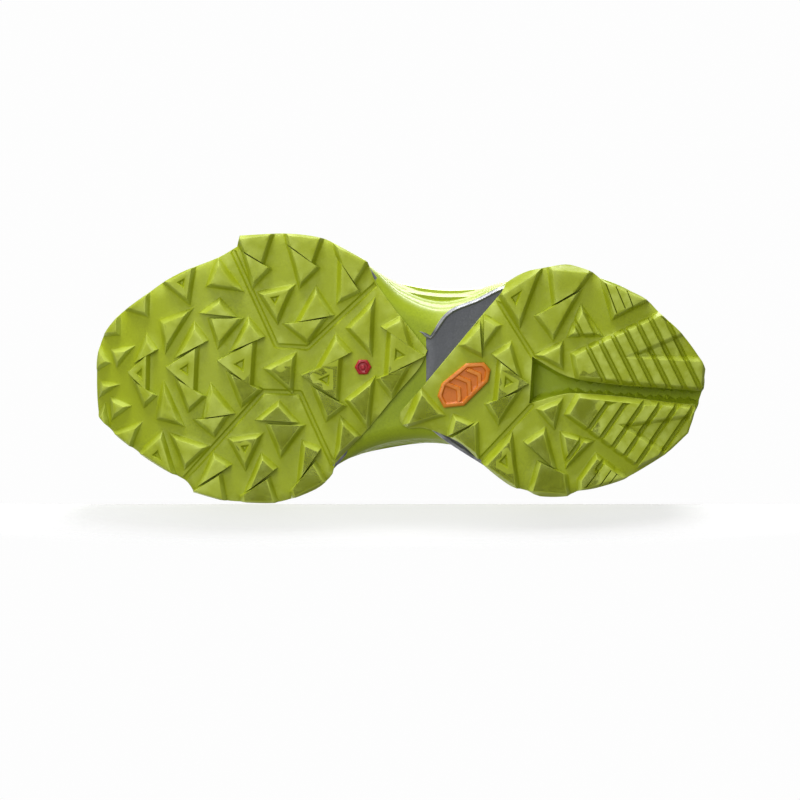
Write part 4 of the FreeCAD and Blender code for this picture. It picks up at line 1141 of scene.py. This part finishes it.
def badge_mark():
    """Three slanted chevron bars across the badge."""
    middle_y, middle_x = 30.0, -7.9
    run = (0.82, 0.57)
    side = (-run[1], run[0])
    bars = []
    for offset in (-7.5, -1.5, 4.5):
        y, x = middle_y + run[0] * offset, middle_x + run[1] * offset
        for way in (-1, 1):
            tip_y, tip_x = y + run[0] * 3.2, x + run[1] * 3.2
            end_y, end_x = y + side[0] * 5.2 * way, x + side[1] * 5.2 * way
            bars.append([
                (tip_y, tip_x), (tip_y + run[0] * 2.4, tip_x + run[1] * 2.4),
                (end_y + run[0] * 2.4, end_x + run[1] * 2.4), (end_y, end_x),
            ])
    return bars


def build_inserts(looks):
    build_insert("tread_badge", BADGE, BADGE_DEPTH, 1.5, 0.8, badge_mark(), looks["badge_rubber"],
                 "badge_rubber", "outsole_badge", 1.4)
    y, x = PLUG_PLACE
    turns = [math.radians(60 * k) for k in range(6)]
    hexagon = [(y + PLUG_RADIUS * math.cos(a), x + PLUG_RADIUS * math.sin(a)) for a in turns]
    dot = [(y + 1.1 * math.cos(a), x + 1.1 * math.sin(a)) for a in turns]
    build_insert("wear_plug_hexagon", hexagon, PLUG_DEPTH, 0.8, 0.5, [dot], looks["plug_rubber"],
                 "plug_rubber", "wear_plug", 0.9)


# ---------------------------------------------------------------- camera, light and stage

LENS, SENSOR = 135, 36
TILT = 4.0
CAMERA_REACH = 1.43
AIM = (-0.01475, -0.0005, 0.0)


def build_camera():
    """Looks up at the tread, the lateral side up and the toe to the left."""
    data = bpy.data.cameras.new("camera")
    data.lens = LENS
    data.sensor_width = SENSOR
    camera = add_object("camera", data)
    turn = math.radians(TILT)
    aim = Vector(AIM)
    away = Vector((math.sin(turn), 0, -math.cos(turn)))
    right = Vector((0, 1, 0))
    up = (-away).cross(right) * -1
    matrix = Matrix((right, up, away)).transposed().to_4x4()
    matrix.translation = aim + away * CAMERA_REACH
    camera.matrix_world = matrix
    bpy.context.scene.camera = camera


def area_light(name, place_at, aim, size, power):
    """A square studio light that the camera doesn't see."""
    data = bpy.data.lights.new(name, "AREA")
    data.energy = power
    data.size = size
    light = add_object(name, data)
    light.location = place_at
    light.rotation_euler = (Vector(aim) - Vector(place_at)).to_track_quat("-Z", "Y").to_euler()
    light.visible_camera = False


# Name, place, aim, size in metres, power in watts.
LIGHTS = [
    ("key", (1.15, -0.25, -0.26), (0, 0, 0.02), 0.55, 15),
    ("back_key", (0.75, 0.15, 0.85), (0, 0, 0.03), 0.6, 13),
    ("sole_fill", (0.35, -0.45, -1.2), (0, 0, 0), 0.9, 10.5),
    ("studio_top", (0.1, 0.1, 1.4), (0, 0, 0.05), 0.9, 14),
    ("studio_side", (-0.9, -0.7, 0.9), (0, 0, 0.05), 0.8, 8),
]
SKY_STRENGTH, PAPER_WHITE = 0.33, 0.985


def build_lights():
    """The studio lights, and a sky that lights softly while the camera sees white paper."""
    for values in LIGHTS:
        area_light(*values)
    world = bpy.data.worlds.new("studio")
    bpy.context.scene.world = world
    world.use_nodes = True
    nodes, links = world.node_tree.nodes, world.node_tree.links
    sky = nodes["Background"]
    sky.inputs["Color"].default_value = (1, 1, 1, 1)
    sky.inputs["Strength"].default_value = SKY_STRENGTH
    seen = nodes.new("ShaderNodeBackground")
    seen.inputs["Color"].default_value = (PAPER_WHITE, PAPER_WHITE, PAPER_WHITE, 1)
    seen.inputs["Strength"].default_value = 1.0
    path = nodes.new("ShaderNodeLightPath")
    mix = nodes.new("ShaderNodeMixShader")
    links.new(path.outputs["Is Camera Ray"], mix.inputs["Fac"])
    links.new(sky.outputs["Background"], mix.inputs[1])
    links.new(seen.outputs["Background"], mix.inputs[2])
    links.new(mix.outputs["Shader"], nodes["World Output"].inputs["Surface"])
    bpy.context.scene.view_settings.view_transform = "Standard"


def stage_material(name, colour, fade_from, fade_to, stretch):
    """Pale matt floor seen only from its front, fading out away from the shoe."""
    look = Look(name, colour, 0.9, Specular_IOR_Level=0.1)
    coordinates = look.node("TexCoord")
    mapping = look.node("Mapping", Scale=stretch)
    look.link(coordinates.outputs["Object"], mapping.inputs["Vector"])
    length = look.node("VectorMath", operation="LENGTH")
    look.link(mapping.outputs["Vector"], length.inputs[0])
    fade = look.node("MapRange", From_Min=fade_from, From_Max=fade_to, To_Min=0.0, To_Max=1.0)
    look.link(length.outputs["Value"], fade.inputs["Value"])
    gone = look.math("MAXIMUM", fade.outputs["Result"], look.node("NewGeometry").outputs["Backfacing"])
    clear = look.node("BsdfTransparent")
    mix = look.node("MixShader")
    look.link(gone, mix.inputs["Fac"])
    look.link(look.shader.outputs["BSDF"], mix.inputs[1])
    look.link(clear.outputs["BSDF"], mix.inputs[2])
    look.link(mix.outputs["Shader"], look.tree.nodes["Material Output"].inputs["Surface"])
    speck = look.noise(8.0)
    look.bump(speck, 0.05)
    return look.mat


def stage_plane(name, centre, across, along_way, material, start=-1):
    """A flat stage piece around its own origin, so its material can fade with distance."""
    corners = [(-1, start), (1, start), (1, 1), (-1, 1)]
    mesh = bpy.data.meshes.new(name)
    verts = [tuple(Vector(across) * u + Vector(along_way) * v) for u, v in corners]
    mesh.from_pydata(verts, [], [(0, 1, 2, 3)])
    mesh.materials.append(material)
    plane = add_object(name, mesh)
    plane.location = centre
    for ray in ("diffuse", "glossy", "transmission", "shadow"):
        setattr(plane, "visible_" + ray, False)


def build_stage():
    """The studio floor under the shoe, and the strip of floor that the shoe lies against on its side."""
    floor = stage_material("floor_paper", (246, 246, 246), 0.6, 1.5, (1, 1, 1))
    stage_plane("studio_floor", (0, 0, 0), (2, 0, 0), (0, 2, 0), floor)
    lean = math.radians(2.0)
    strip = stage_material("side_floor_paper", (205, 205, 206), 0.085, 0.14, (0.5, 0.55, 1.0))
    down = Vector((-math.sin(lean), 0, -math.cos(lean))) * 0.7
    stage_plane("side_floor", (-0.0646, -0.005, 0), (0, -0.5, 0), tuple(down), strip, 0)


# ---------------------------------------------------------------- upper

EYELET_STEP, EYELET_SIDES = 0.86, 28
LATERAL_EYELETS = [5.5 + EYELET_STEP * i for i in range(6)]
MEDIAL_EYELETS = [17.5 - EYELET_STEP * i for i in range(6)]
EYELET_HEIGHT = 0.90
FLANGE_THICKNESS = 0.8
LACE_WIDTH, LACE_THICKNESS, LACE_ARCH, LACE_HEIGHT = 5.0, 1.3, 3.2, 0.97
LACE_LIFT = OVERLAY_OUT + 0.2 + FLANGE_THICKNESS + 0.9
THROAT = [(-68, 71), (-57, 77.5), (-45, 83), (-14, 94.5), (12, 103.5), (34, 110), (48, 119), (66, 137)]
THROAT_BEND = [(-68, 0.016), (-14, 0.022), (34, 0.022), (66, 0.012)]
THROAT_X = -1.5
TONGUE_HALF = [(-68, 5), (-45, 11), (-14, 16), (12, 18.5), (34, 22), (50, 24), (68, 20)]
TONGUE_START, TONGUE_END = -66.0, 68.0
TONGUE_THICKNESS, TONGUE_BORDER = 6.0, 4.0
TONGUE_SEAMS, SEAM_WIDTH, SEAM_DEPTH = (-30, -4, 20, 40), 1.3, 0.8


# Width of a sheet's rounded border, and how far it comes down as a share of the thickness.
SHEET_BORDER, BORDER_DROP = 0.9, 0.5


def spread(count, length):
    """Steps 0 to 1, with extra ones close to both ends for a rounded border."""
    near = min(SHEET_BORDER / max(length, 1e-6), 0.2)
    ends = np.array([0, 0.3, 0.65]) * near
    return np.concatenate([ends, np.linspace(near, 1 - near, count), 1 - ends[::-1]])


def closed_sheet(name, outer, inner, us, vs, lengths, material):
    """A closed solid between two surfaces of (u, v), its outer border rounded over towards the inner one."""
    u, v = np.meshgrid(us, vs, indexing="ij")
    top, under = outer(u, v), inner(u, v)
    edge = np.minimum(np.minimum(u, 1 - u) * lengths[0], np.minimum(v, 1 - v) * lengths[1])
    share = np.clip(edge / SHEET_BORDER, 0, 1)
    drop = BORDER_DROP * (1 - np.sqrt(1 - (1 - share) ** 2))
    top = top * (1 - drop[..., None]) + under * drop[..., None]
    flat = np.stack([u * lengths[0], v * lengths[1]], axis=-1).reshape(-1, 2)
    verts, faces = two_faced(top, under)
    piece = mesh_object(name, verts, faces, material, np.vstack([flat, flat]), 50)
    fix_normals(piece)
    return piece


def upper_patch(name, start, end, low, high, inside_at, outside_at, material, rows=24, per_station=10):
    """A piece of the upper between two stations, two heights and two offsets, each a function or a number."""
    def value(f, *args):
        return f(*args) if callable(f) else np.full(np.broadcast(*args).shape, float(f))

    def surface(offset):
        def place_at(u, v):
            s = start + (end - start) * u
            t = value(low, s, s) * (1 - v) + value(high, s, s) * v
            return skin(s, t, value(offset, s, t))
        return place_at

    middle = (start + end) / 2
    heights = np.linspace(float(value(low, np.array(middle), np.array(middle))),
                          float(value(high, np.array(middle), np.array(middle))), 12)
    tall = np.linalg.norm(np.diff(skin(np.full(12, middle), heights, np.zeros(12)), axis=0), axis=1).sum()
    across = np.linspace(start, end, 60)
    row = skin(across, np.full(60, heights.mean()), np.zeros(60))
    wide = np.linalg.norm(np.diff(row, axis=0), axis=1).sum()
    us = spread(max(6, int((end - start) * per_station)), wide)
    vs = spread(rows, tall)
    return closed_sheet(name, surface(outside_at), surface(inside_at), us, vs, (wide, tall), material)


def collar_bulge(s, t):
    """0 to 1: how far the padded collar stands in, from the ankle stations round the heel."""
    position = (s + COUNT / 2) % COUNT - COUNT / 2
    side = np.clip((5.6 - np.abs(position)) / 2.0, 0, 1)
    height = smooth(np.clip((t - 0.55) / 0.25, 0, 1) * np.clip((1.06 - t) / 0.2, 0, 1))
    return smooth(side) * height


def rim_height(rise):
    """Height on the upper that is rise above the foam's rim."""
    return lambda s, *ignored: height_on_skin(s, lambda y: along(FOAM_TOP, y) + rise, OVERLAY_OUT)


def raised(base, share):
    """A height above another one."""
    return lambda s, *ignored: base(s) + share


def build_shell(looks):
    """Outer textile in three pieces, and the linings."""
    mesh, lining = looks["upper_mesh"], looks["lining_textile"]
    spans = (("vamp", 7.0, 16.0), ("lateral_quarter", 0.03, 6.97), ("medial_quarter", 16.03, 22.97))
    for name, start, end in spans:
        shell = upper_patch(name + "_textile", start, end, 0.0, 0.997, MESH_OUT - 1.2, MESH_OUT, mesh, 40, 12)
        place(shell, "shoe", "upper_mesh", name)
    front = upper_patch("forefoot_lining", 7.0, 16.0, 0.0, 0.997, 0.0, LINING_OUT, lining, 24)
    place(front, "shoe", "lining_textile", "vamp_lining")
    inner = upper_patch("rear_lining", 16.05, 6.95 + COUNT, 0.0, 0.99,
                        lambda s, t: -COLLAR_PAD * collar_bulge(s, t),
                        lambda s, t: LINING_OUT - COLLAR_PAD * collar_bulge(s, t), lining, 36, 9)
    place(inner, "shoe", "lining_textile", "collar_lining")


# The roll's section: height on the upper, and distance out from the foot's surface.
COLLAR_ROLL = [
    (0.84, 3.6), (0.88, 4.1), (0.93, 4.5), (0.97, 4.2), (1.0, 3.4), (1.018, 2.0), (1.022, 0.0), (1.015, -2.0),
    (0.995, -4.4), (0.96, -6.2), (0.91, -7.1), (0.85, -7.2), (0.78, -6.6), (0.72, -5.2), (0.68, -3.2),
    (0.70, -0.6),
    (0.76, 1.2), (0.80, 2.6),
]
COLLAR_SPAN, COLLAR_MIDDLE = 5.5, (0.93, 2.2)
# The stitched channel inside: its height on the upper, its width and its depth.
CHANNEL_T, CHANNEL_WIDTH, CHANNEL_IN = 0.84, 0.025, 0.9


def build_collar(looks):
    """The padded collar, a soft roll round the ankle with a stitched channel inside."""
    start, end, columns = COUNT - COLLAR_SPAN, COUNT + COLLAR_SPAN, 150
    s = np.linspace(start, end, columns)
    share = np.minimum((s - start), (end - s)) / 1.6
    full = smooth(share)
    rings = []
    middle_t, middle_o = COLLAR_MIDDLE
    profile = smooth_outline(COLLAR_ROLL, 0.02, 180)
    picks = profile[:: max(1, len(profile) // 48)]
    grow = 0.25 + 0.75 * full
    for offset, t in picks:
        height = middle_t + (t - middle_t) * grow
        depth = middle_o + (offset - middle_o) * grow
        channel = CHANNEL_IN * np.exp(-((t - CHANNEL_T) / CHANNEL_WIDTH) ** 2) * (offset < 0)
        rings.append(skin(s, np.minimum(height, 1.03), depth + channel * full))
    grid = np.array(rings)
    count = len(rings)
    verts = grid.transpose(1, 0, 2).reshape(-1, 3)
    faces = swept_faces(columns, count)
    around = np.repeat(np.linspace(0, 300, columns), count)
    across = np.tile(np.linspace(0, 60, count), columns)
    uvs = np.column_stack([around, across])
    roll = mesh_object("ankle_collar", verts, faces, looks["lining_textile"], uvs, 60)
    fix_normals(roll)
    puff(roll, 1.5, 0.0012)
    place(roll, "shoe", "padding_foam", "collar_foam")


PUFF_FRAMES = 12


def puff(obj, pressure, cap):
    """Swells a padded piece slightly by cloth simulation, no point moving further than cap."""
    rest = np.array([v.co[:] for v in obj.data.vertices])
    cloth = obj.modifiers.new("cloth", "CLOTH")
    cloth.settings.use_pressure = True
    cloth.settings.uniform_pressure_force = pressure
    cloth.settings.effector_weights.gravity = 0
    cloth.settings.quality = 5
    cloth.settings.mass = 0.2
    scene = bpy.context.scene
    for step in range(1, PUFF_FRAMES + 1):
        scene.frame_set(step)
    shown = obj.evaluated_get(bpy.context.evaluated_depsgraph_get())
    moved = np.array([v.co[:] for v in shown.data.vertices])
    obj.modifiers.remove(cloth)
    scene.frame_set(1)
    move = moved - rest
    far = np.linalg.norm(move, axis=1, keepdims=True)
    move *= np.minimum(1, cap / np.maximum(far, 1e-9))
    obj.data.vertices.foreach_set("co", (rest + move).ravel())
    obj.data.update()


# How far the toe bumper's and the heel clip's top edges come down at their ends, as a share of the upper.
CORNER_DROP = 0.13


def build_overlays(looks):
    """Welded films and moulded pieces on the outside of the upper."""
    rim = rim_height(0.4)
    film, hard = "overlay_film", "moulded_overlay"
    spans = [
        ("toe_bumper", 8.6, 14.4, rim, raised(rim, 0.24), hard),
        ("lateral_mudguard", 4.3, 8.5, rim, raised(rim, 0.12), film),
        ("medial_mudguard", 14.5, 18.7, rim, raised(rim, 0.12), film),
        ("heel_clip", COUNT - 4.2, COUNT + 4.2, rim, raised(rim, 0.26), hard),
        ("heel_patch", COUNT - 0.7, COUNT + 0.7, raised(rim, 0.28), 0.97, film),
        ("lateral_saddle", 5.7, 7.3, raised(rim, 0.14), 0.77, film),
        ("medial_saddle", 15.7, 17.3, raised(rim, 0.14), 0.77, film),
    ]
    for node, start, end, low, high, slot in spans:
        if node in ("toe_bumper", "heel_clip"):
            peak = high

            def high(s, *ignored, start=start, end=end, peak=peak):
                near = np.clip(np.minimum(s - start, end - s) / 1.6, 0, 1)
                return peak(s) - CORNER_DROP * (1 - smooth(near))
        piece = upper_patch(node + "_overlay", start, end, low, high, OVERLAY_IN - 0.2, OVERLAY_OUT,
                            looks[slot], 12)
        place(piece, "shoe", slot, node)
    for side, stations in (("lateral", LATERAL_EYELETS), ("medial", MEDIAL_EYELETS)):
        start, end = min(stations) - 0.5, max(stations) + 0.5

        def scallop(s, *ignored, stations=stations):
            near = np.min(np.abs(np.asarray(s)[..., None] - np.array(stations)), axis=-1)
            return 0.79 + 0.05 * smooth(near / 0.43)
        stay = upper_patch(side + "_eyestay_overlay", start, end, scallop, 0.993, OVERLAY_IN - 0.2,
                           OVERLAY_OUT, looks[film], 12, 16)
        place(stay, "shoe", film, side + "_eyestay")


def tube(name, centres, normals, widths, heights, material, sides=12):
    """A flat or round strap swept along a line; normals are its face directions."""
    centres = np.asarray(centres, float)
    ahead = np.gradient(centres, axis=0)
    ahead /= np.linalg.norm(ahead, axis=1, keepdims=True)
    across = np.cross(normals, ahead)
    across /= np.linalg.norm(across, axis=1, keepdims=True)
    up = np.cross(ahead, across)
    turns = np.linspace(0, 2 * math.pi, sides, endpoint=False)
    round_x = np.sign(np.cos(turns)) * np.abs(np.cos(turns)) ** 0.6
    round_y = np.sign(np.sin(turns)) * np.abs(np.sin(turns)) ** 0.8
    widths, heights = (np.broadcast_to(v, len(centres)) for v in (widths, heights))
    verts = (centres[:, None] + across[:, None] * (round_x[None, :, None] * widths[:, None, None] / 2)
             + up[:, None] * (round_y[None, :, None] * heights[:, None, None] / 2)).reshape(-1, 3)
    faces = swept_faces(len(centres), sides)
    run = np.concatenate([[0], np.linalg.norm(np.diff(centres, axis=0), axis=1).cumsum()])
    around = np.linspace(0, 2 * float(widths.max()), sides)
    uvs = np.column_stack([np.repeat(run, sides), np.tile(around, len(run))])
    return mesh_object(name, verts, faces, material, uvs, 60)


def join(name, pieces):
    """One object from several, keeping their materials and UVs."""
    work = bmesh.new()
    material = pieces[0].data.materials[0]
    for piece in pieces:
        work.from_mesh(piece.data)
        bpy.data.objects.remove(piece)
    mesh = bpy.data.meshes.new(name)
    work.to_mesh(mesh)
    work.free()
    mesh.materials.append(material)
    mesh.set_sharp_from_angle(angle=math.radians(50))
    obj = add_object(name, mesh)
    fix_normals(obj)
    return obj


def ring_piece(profile, middle, axis, material, name):
    """A ring turned round an axis; the profile is (radius, height) all the way round."""
    axis = np.asarray(axis, float)
    side = np.cross(axis, [0, 1, 0.2])
    side /= np.linalg.norm(side)
    other = np.cross(axis, side)
    verts = []
    for k in range(EYELET_SIDES):
        turn = 2 * math.pi * k / EYELET_SIDES
        spoke = side * math.cos(turn) + other * math.sin(turn)
        verts += [middle + spoke * radius + axis * height for radius, height in profile]
    return mesh_object(name, verts, swept_faces(EYELET_SIDES, len(profile), closed=True), material, sharp=45)


EYELET_PROFILE = [
    (2.0, -2.2), (2.0, 5.6), (2.15, 6.15), (2.6, 6.4), (3.5, 6.35), (4.05, 6.0), (4.2, 5.6), (4.1, 5.35),
    (2.9, 5.3),
    (2.6, 4.9), (2.6, -2.2),
]


def build_eyelets(looks):
    """Two rows of turned eyelets."""
    for side, stations in (("lateral", LATERAL_EYELETS), ("medial", MEDIAL_EYELETS)):
        rings = []
        for s in stations:
            middle, axis = skin_point(s, EYELET_HEIGHT), skin_normal(s, EYELET_HEIGHT)
            rings.append(ring_piece(EYELET_PROFILE, middle, axis, looks["eyelet_metal"], "eyelet"))
        place(join(side + "_eyelet_set", rings), "shoe", "eyelet_metal", side + "_eyelets")


def lace_crossing(first, second, lift, material):
    """A flat lace from one eyelet, up over the edge and across the tongue to the other."""
    ends = []
    for s in (first, second):
        low = skin(np.array(s), np.array(EYELET_HEIGHT), np.array(OVERLAY_OUT + 1.9))
        edge = skin(np.array(s), np.array(LACE_HEIGHT), np.array(LACE_LIFT + 0.3))
        ends.append((low, edge))
    (low_a, edge_a), (low_b, edge_b) = ends
    u = np.linspace(0, 1, 15)[:, None]
    middle = edge_a + (edge_b - edge_a) * u + np.array([0, 0, 1.0]) * (LACE_ARCH * 4 * u * (1 - u) + lift)
    bend_a, bend_b = (low_a + edge_a) / 2 + [0, 0, 0.6], (low_b + edge_b) / 2 + [0, 0, 0.6]
    path = np.vstack([low_a, bend_a, middle, bend_b, low_b])
    smoothed = path.copy()
    smoothed[1:-1] = (path[:-2] + 2 * path[1:-1] + path[2:]) / 4
    normals = np.tile([0, -0.25, 1.0], (len(path), 1))
    normals[:3] = skin_normal(first, EYELET_HEIGHT)
    normals[-3:] = skin_normal(second, EYELET_HEIGHT)
    return tube("lace_run", smoothed, normals, LACE_WIDTH, LACE_THICKNESS, material)


def build_laces(looks):
    """One crossed lace, with its two tips tucked under the lower crossings."""
    lateral, medial = LATERAL_EYELETS[::-1], MEDIAL_EYELETS[::-1]
    runs = [lace_crossing(lateral[0], medial[0], 0.2, looks["lace_textile"])]
    for i in range(5):
        over, under = (0.9, 0.0) if i % 2 else (0.0, 0.9)
        runs.append(lace_crossing(lateral[i], medial[i + 1], over, looks["lace_textile"]))
        runs.append(lace_crossing(medial[i], lateral[i + 1], under, looks["lace_textile"]))
    place(join("crossed_lace", runs), "shoe", "lace_textile", "lace")
    tips = []
    for across in (-5.0, 5.0):
        ys = np.linspace(4, -14, 12)
        path = throat(ys, np.full(12, across), np.full(12, 1.9))
        radius = np.interp(np.linspace(0, 1, 12), [0, 0.06, 0.9, 1], [2.3, 2.8, 2.7, 1.6])
        upright = np.tile([0, 0, 1.0], (12, 1))
        tips.append(tube("tip", path, upright, radius, radius, looks["aglet_plastic"], 16))
    place(join("lace_tips", tips), "shoe", "aglet_plastic", "aglets")


def throat_point(y, across):
    """The tongue's outer face, a low arch over the instep."""
    z = along(THROAT, y) - across * across * along(THROAT_BEND, y)
    return np.stack([THROAT_X + across, y, z], axis=-1)


def throat(y, across, offset):
    """Points off the tongue's outer face."""
    a = throat_point(y + 0.5, across) - throat_point(y - 0.5, across)
    b = throat_point(y, across + 0.5) - throat_point(y, across - 0.5)
    normal = np.cross(b, a)
    normal /= np.linalg.norm(normal, axis=-1, keepdims=True)
    return throat_point(y, across) + normal * np.asarray(offset)[..., None]


def build_tongue(looks):
    """Padded tongue in one piece: crowned between its edges, sewn across, bending above the lace."""
    us, vs = np.linspace(0, 1, 110), np.linspace(0, 1, 33)
    u, v = np.meshgrid(us, vs, indexing="ij")
    y = TONGUE_START + (TONGUE_END - TONGUE_START) * u
    half = along(TONGUE_HALF, y)
    round_end = np.sqrt(np.clip((TONGUE_END + 1.5 - y) / 14, 0.02, 1))
    across = half * np.minimum(1, 0.35 + 0.65 * round_end) * (2 * v - 1)
    edge = np.minimum(np.minimum(v, 1 - v) * 2 * half, (1 - u) * (TONGUE_END - TONGUE_START))
    swell = np.sqrt(np.clip(1 - (1 - np.clip(edge / TONGUE_BORDER, 0, 1)) ** 2, 0, 1))
    seam = np.zeros_like(y)
    for line in TONGUE_SEAMS:
        seam = np.maximum(seam, np.exp(-((y - line) / SEAM_WIDTH) ** 2))
    half_thick = TONGUE_THICKNESS / 2
    outer = -half_thick + (half_thick - 0.3) * swell - SEAM_DEPTH * seam * swell
    inner = -half_thick - (half_thick - 0.3) * swell
    top, under = throat(y, across, outer), throat(y, across, inner)
    verts, faces = two_faced(top, under)
    flat = np.stack([y, across], axis=-1).reshape(-1, 2)
    tongue = mesh_object("padded_tongue", verts, faces, looks["tongue_textile"], np.vstack([flat, flat]), 70)
    fix_normals(tongue)
    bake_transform(tongue)
    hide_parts("tongue", "tongue_top")

    def label_at(offset):
        return lambda a, b: throat(50.5 + 12 * a, -9.5 + 19 * b, np.full(np.shape(a), offset))
    label = closed_sheet("tongue_label_patch", label_at(1.1), label_at(0.1), spread(8, 12), spread(12, 19),
                         (12, 19), looks["label_plastic"])
    place(label, "tongue_flap", "label_plastic", "tongue_label")


def build_pull_tab(looks):
    """Doubled webbing sewn low on the heel and standing above the collar."""
    line = [(145.7, 100.3), (146.0, 108), (146.0, 118), (145.6, 127), (144.6, 133), (143.7, 136.4)]
    control = np.array(line)
    share = np.linspace(0, len(line) - 1, 40)
    path = np.column_stack([np.full(40, -5.0), np.interp(share, range(len(line)), control[:, 0]),
                            np.interp(share, range(len(line)), control[:, 1])])
    for _ in range(3):
        path[1:-1] = (path[:-2] + 2 * path[1:-1] + path[2:]) / 4
    thick = np.interp(np.linspace(0, 1, 40), [0, 0.1, 0.7, 0.93, 1], [1.2, 1.8, 2.2, 2.6, 1.4])
    tab = tube("heel_webbing", path, np.tile([0, 1.0, 0.05], (40, 1)), 15.6, thick, looks["webbing"], 20)
    fix_normals(tab)
    place(tab, "pull_tab", "webbing", "heel_pull_tab")


def build_footbed(looks):
    """Strobel board, and the sockliner on it."""
    s = np.arange(10 * COUNT) / 10
    foot, out = feather_and_out(s)

    def plate_at(name, outset, low, thickness, slot, node):
        outline = foot[:, :2] + out[:, :2] * outset
        rings = [inset_outline(outline, inset) for inset in (1.0, 3.0, 6.0)]

        def lower(p):
            return along(FEATHER_HEIGHT, p[:, 1]) + low

        def upper(p):
            return lower(p) + thickness
        plate = relief(name, outline, rings, [], lower, upper, 6.0, looks[slot], 0.05)
        split_cap(plate)
        place(plate, "shoe", slot, node)

    plate_at("strobel_board_sheet", -0.3, -1.6, 1.6, "board_textile", "strobel_board")
    plate_at("sockliner_sheet", -1.2, 0.3, 3.4, "sockliner_textile", "sockliner")


def split_cap(plate):
    """Triangulates the single large face on a relief's top."""
    work = bmesh.new()
    work.from_mesh(plate.data)
    cap = max(work.faces, key=lambda face: len(face.verts))
    bmesh.ops.triangulate(work, faces=[cap])
    work.to_mesh(plate.data)
    work.free()


def dress_kept_nodes(looks):
    """Materials for the CAD parts that stay as they are."""
    kept = {"toe_puff": "stiffener", "heel_counter": "stiffener", "toe_tab": "toe_tab_plastic"}
    for name, material in kept.items():
        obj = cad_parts[name]
        for slot in obj.material_slots:
            slot.material = looks[material]
        if not obj.material_slots:
            obj.data.materials.append(looks[material])


# ---------------------------------------------------------------- build

looks = {name: moulded(name, **values).mat for name, values in MOULDED.items()}
looks.update((name, woven(name, **values).mat) for name, values in WOVEN.items())
build_camera()
build_lights()
build_stage()
build_forefoot_outsole(looks["outsole_rubber"])
build_heel_outsole(looks["outsole_rubber"])
build_midsole(looks["midsole_foam"])
build_plate(looks["plate_plastic"])
build_inserts(looks)
build_shell(looks)
build_collar(looks)
build_overlays(looks)
build_eyelets(looks)
build_laces(looks)
build_tongue(looks)
build_pull_tab(looks)
build_footbed(looks)
dress_kept_nodes(looks)
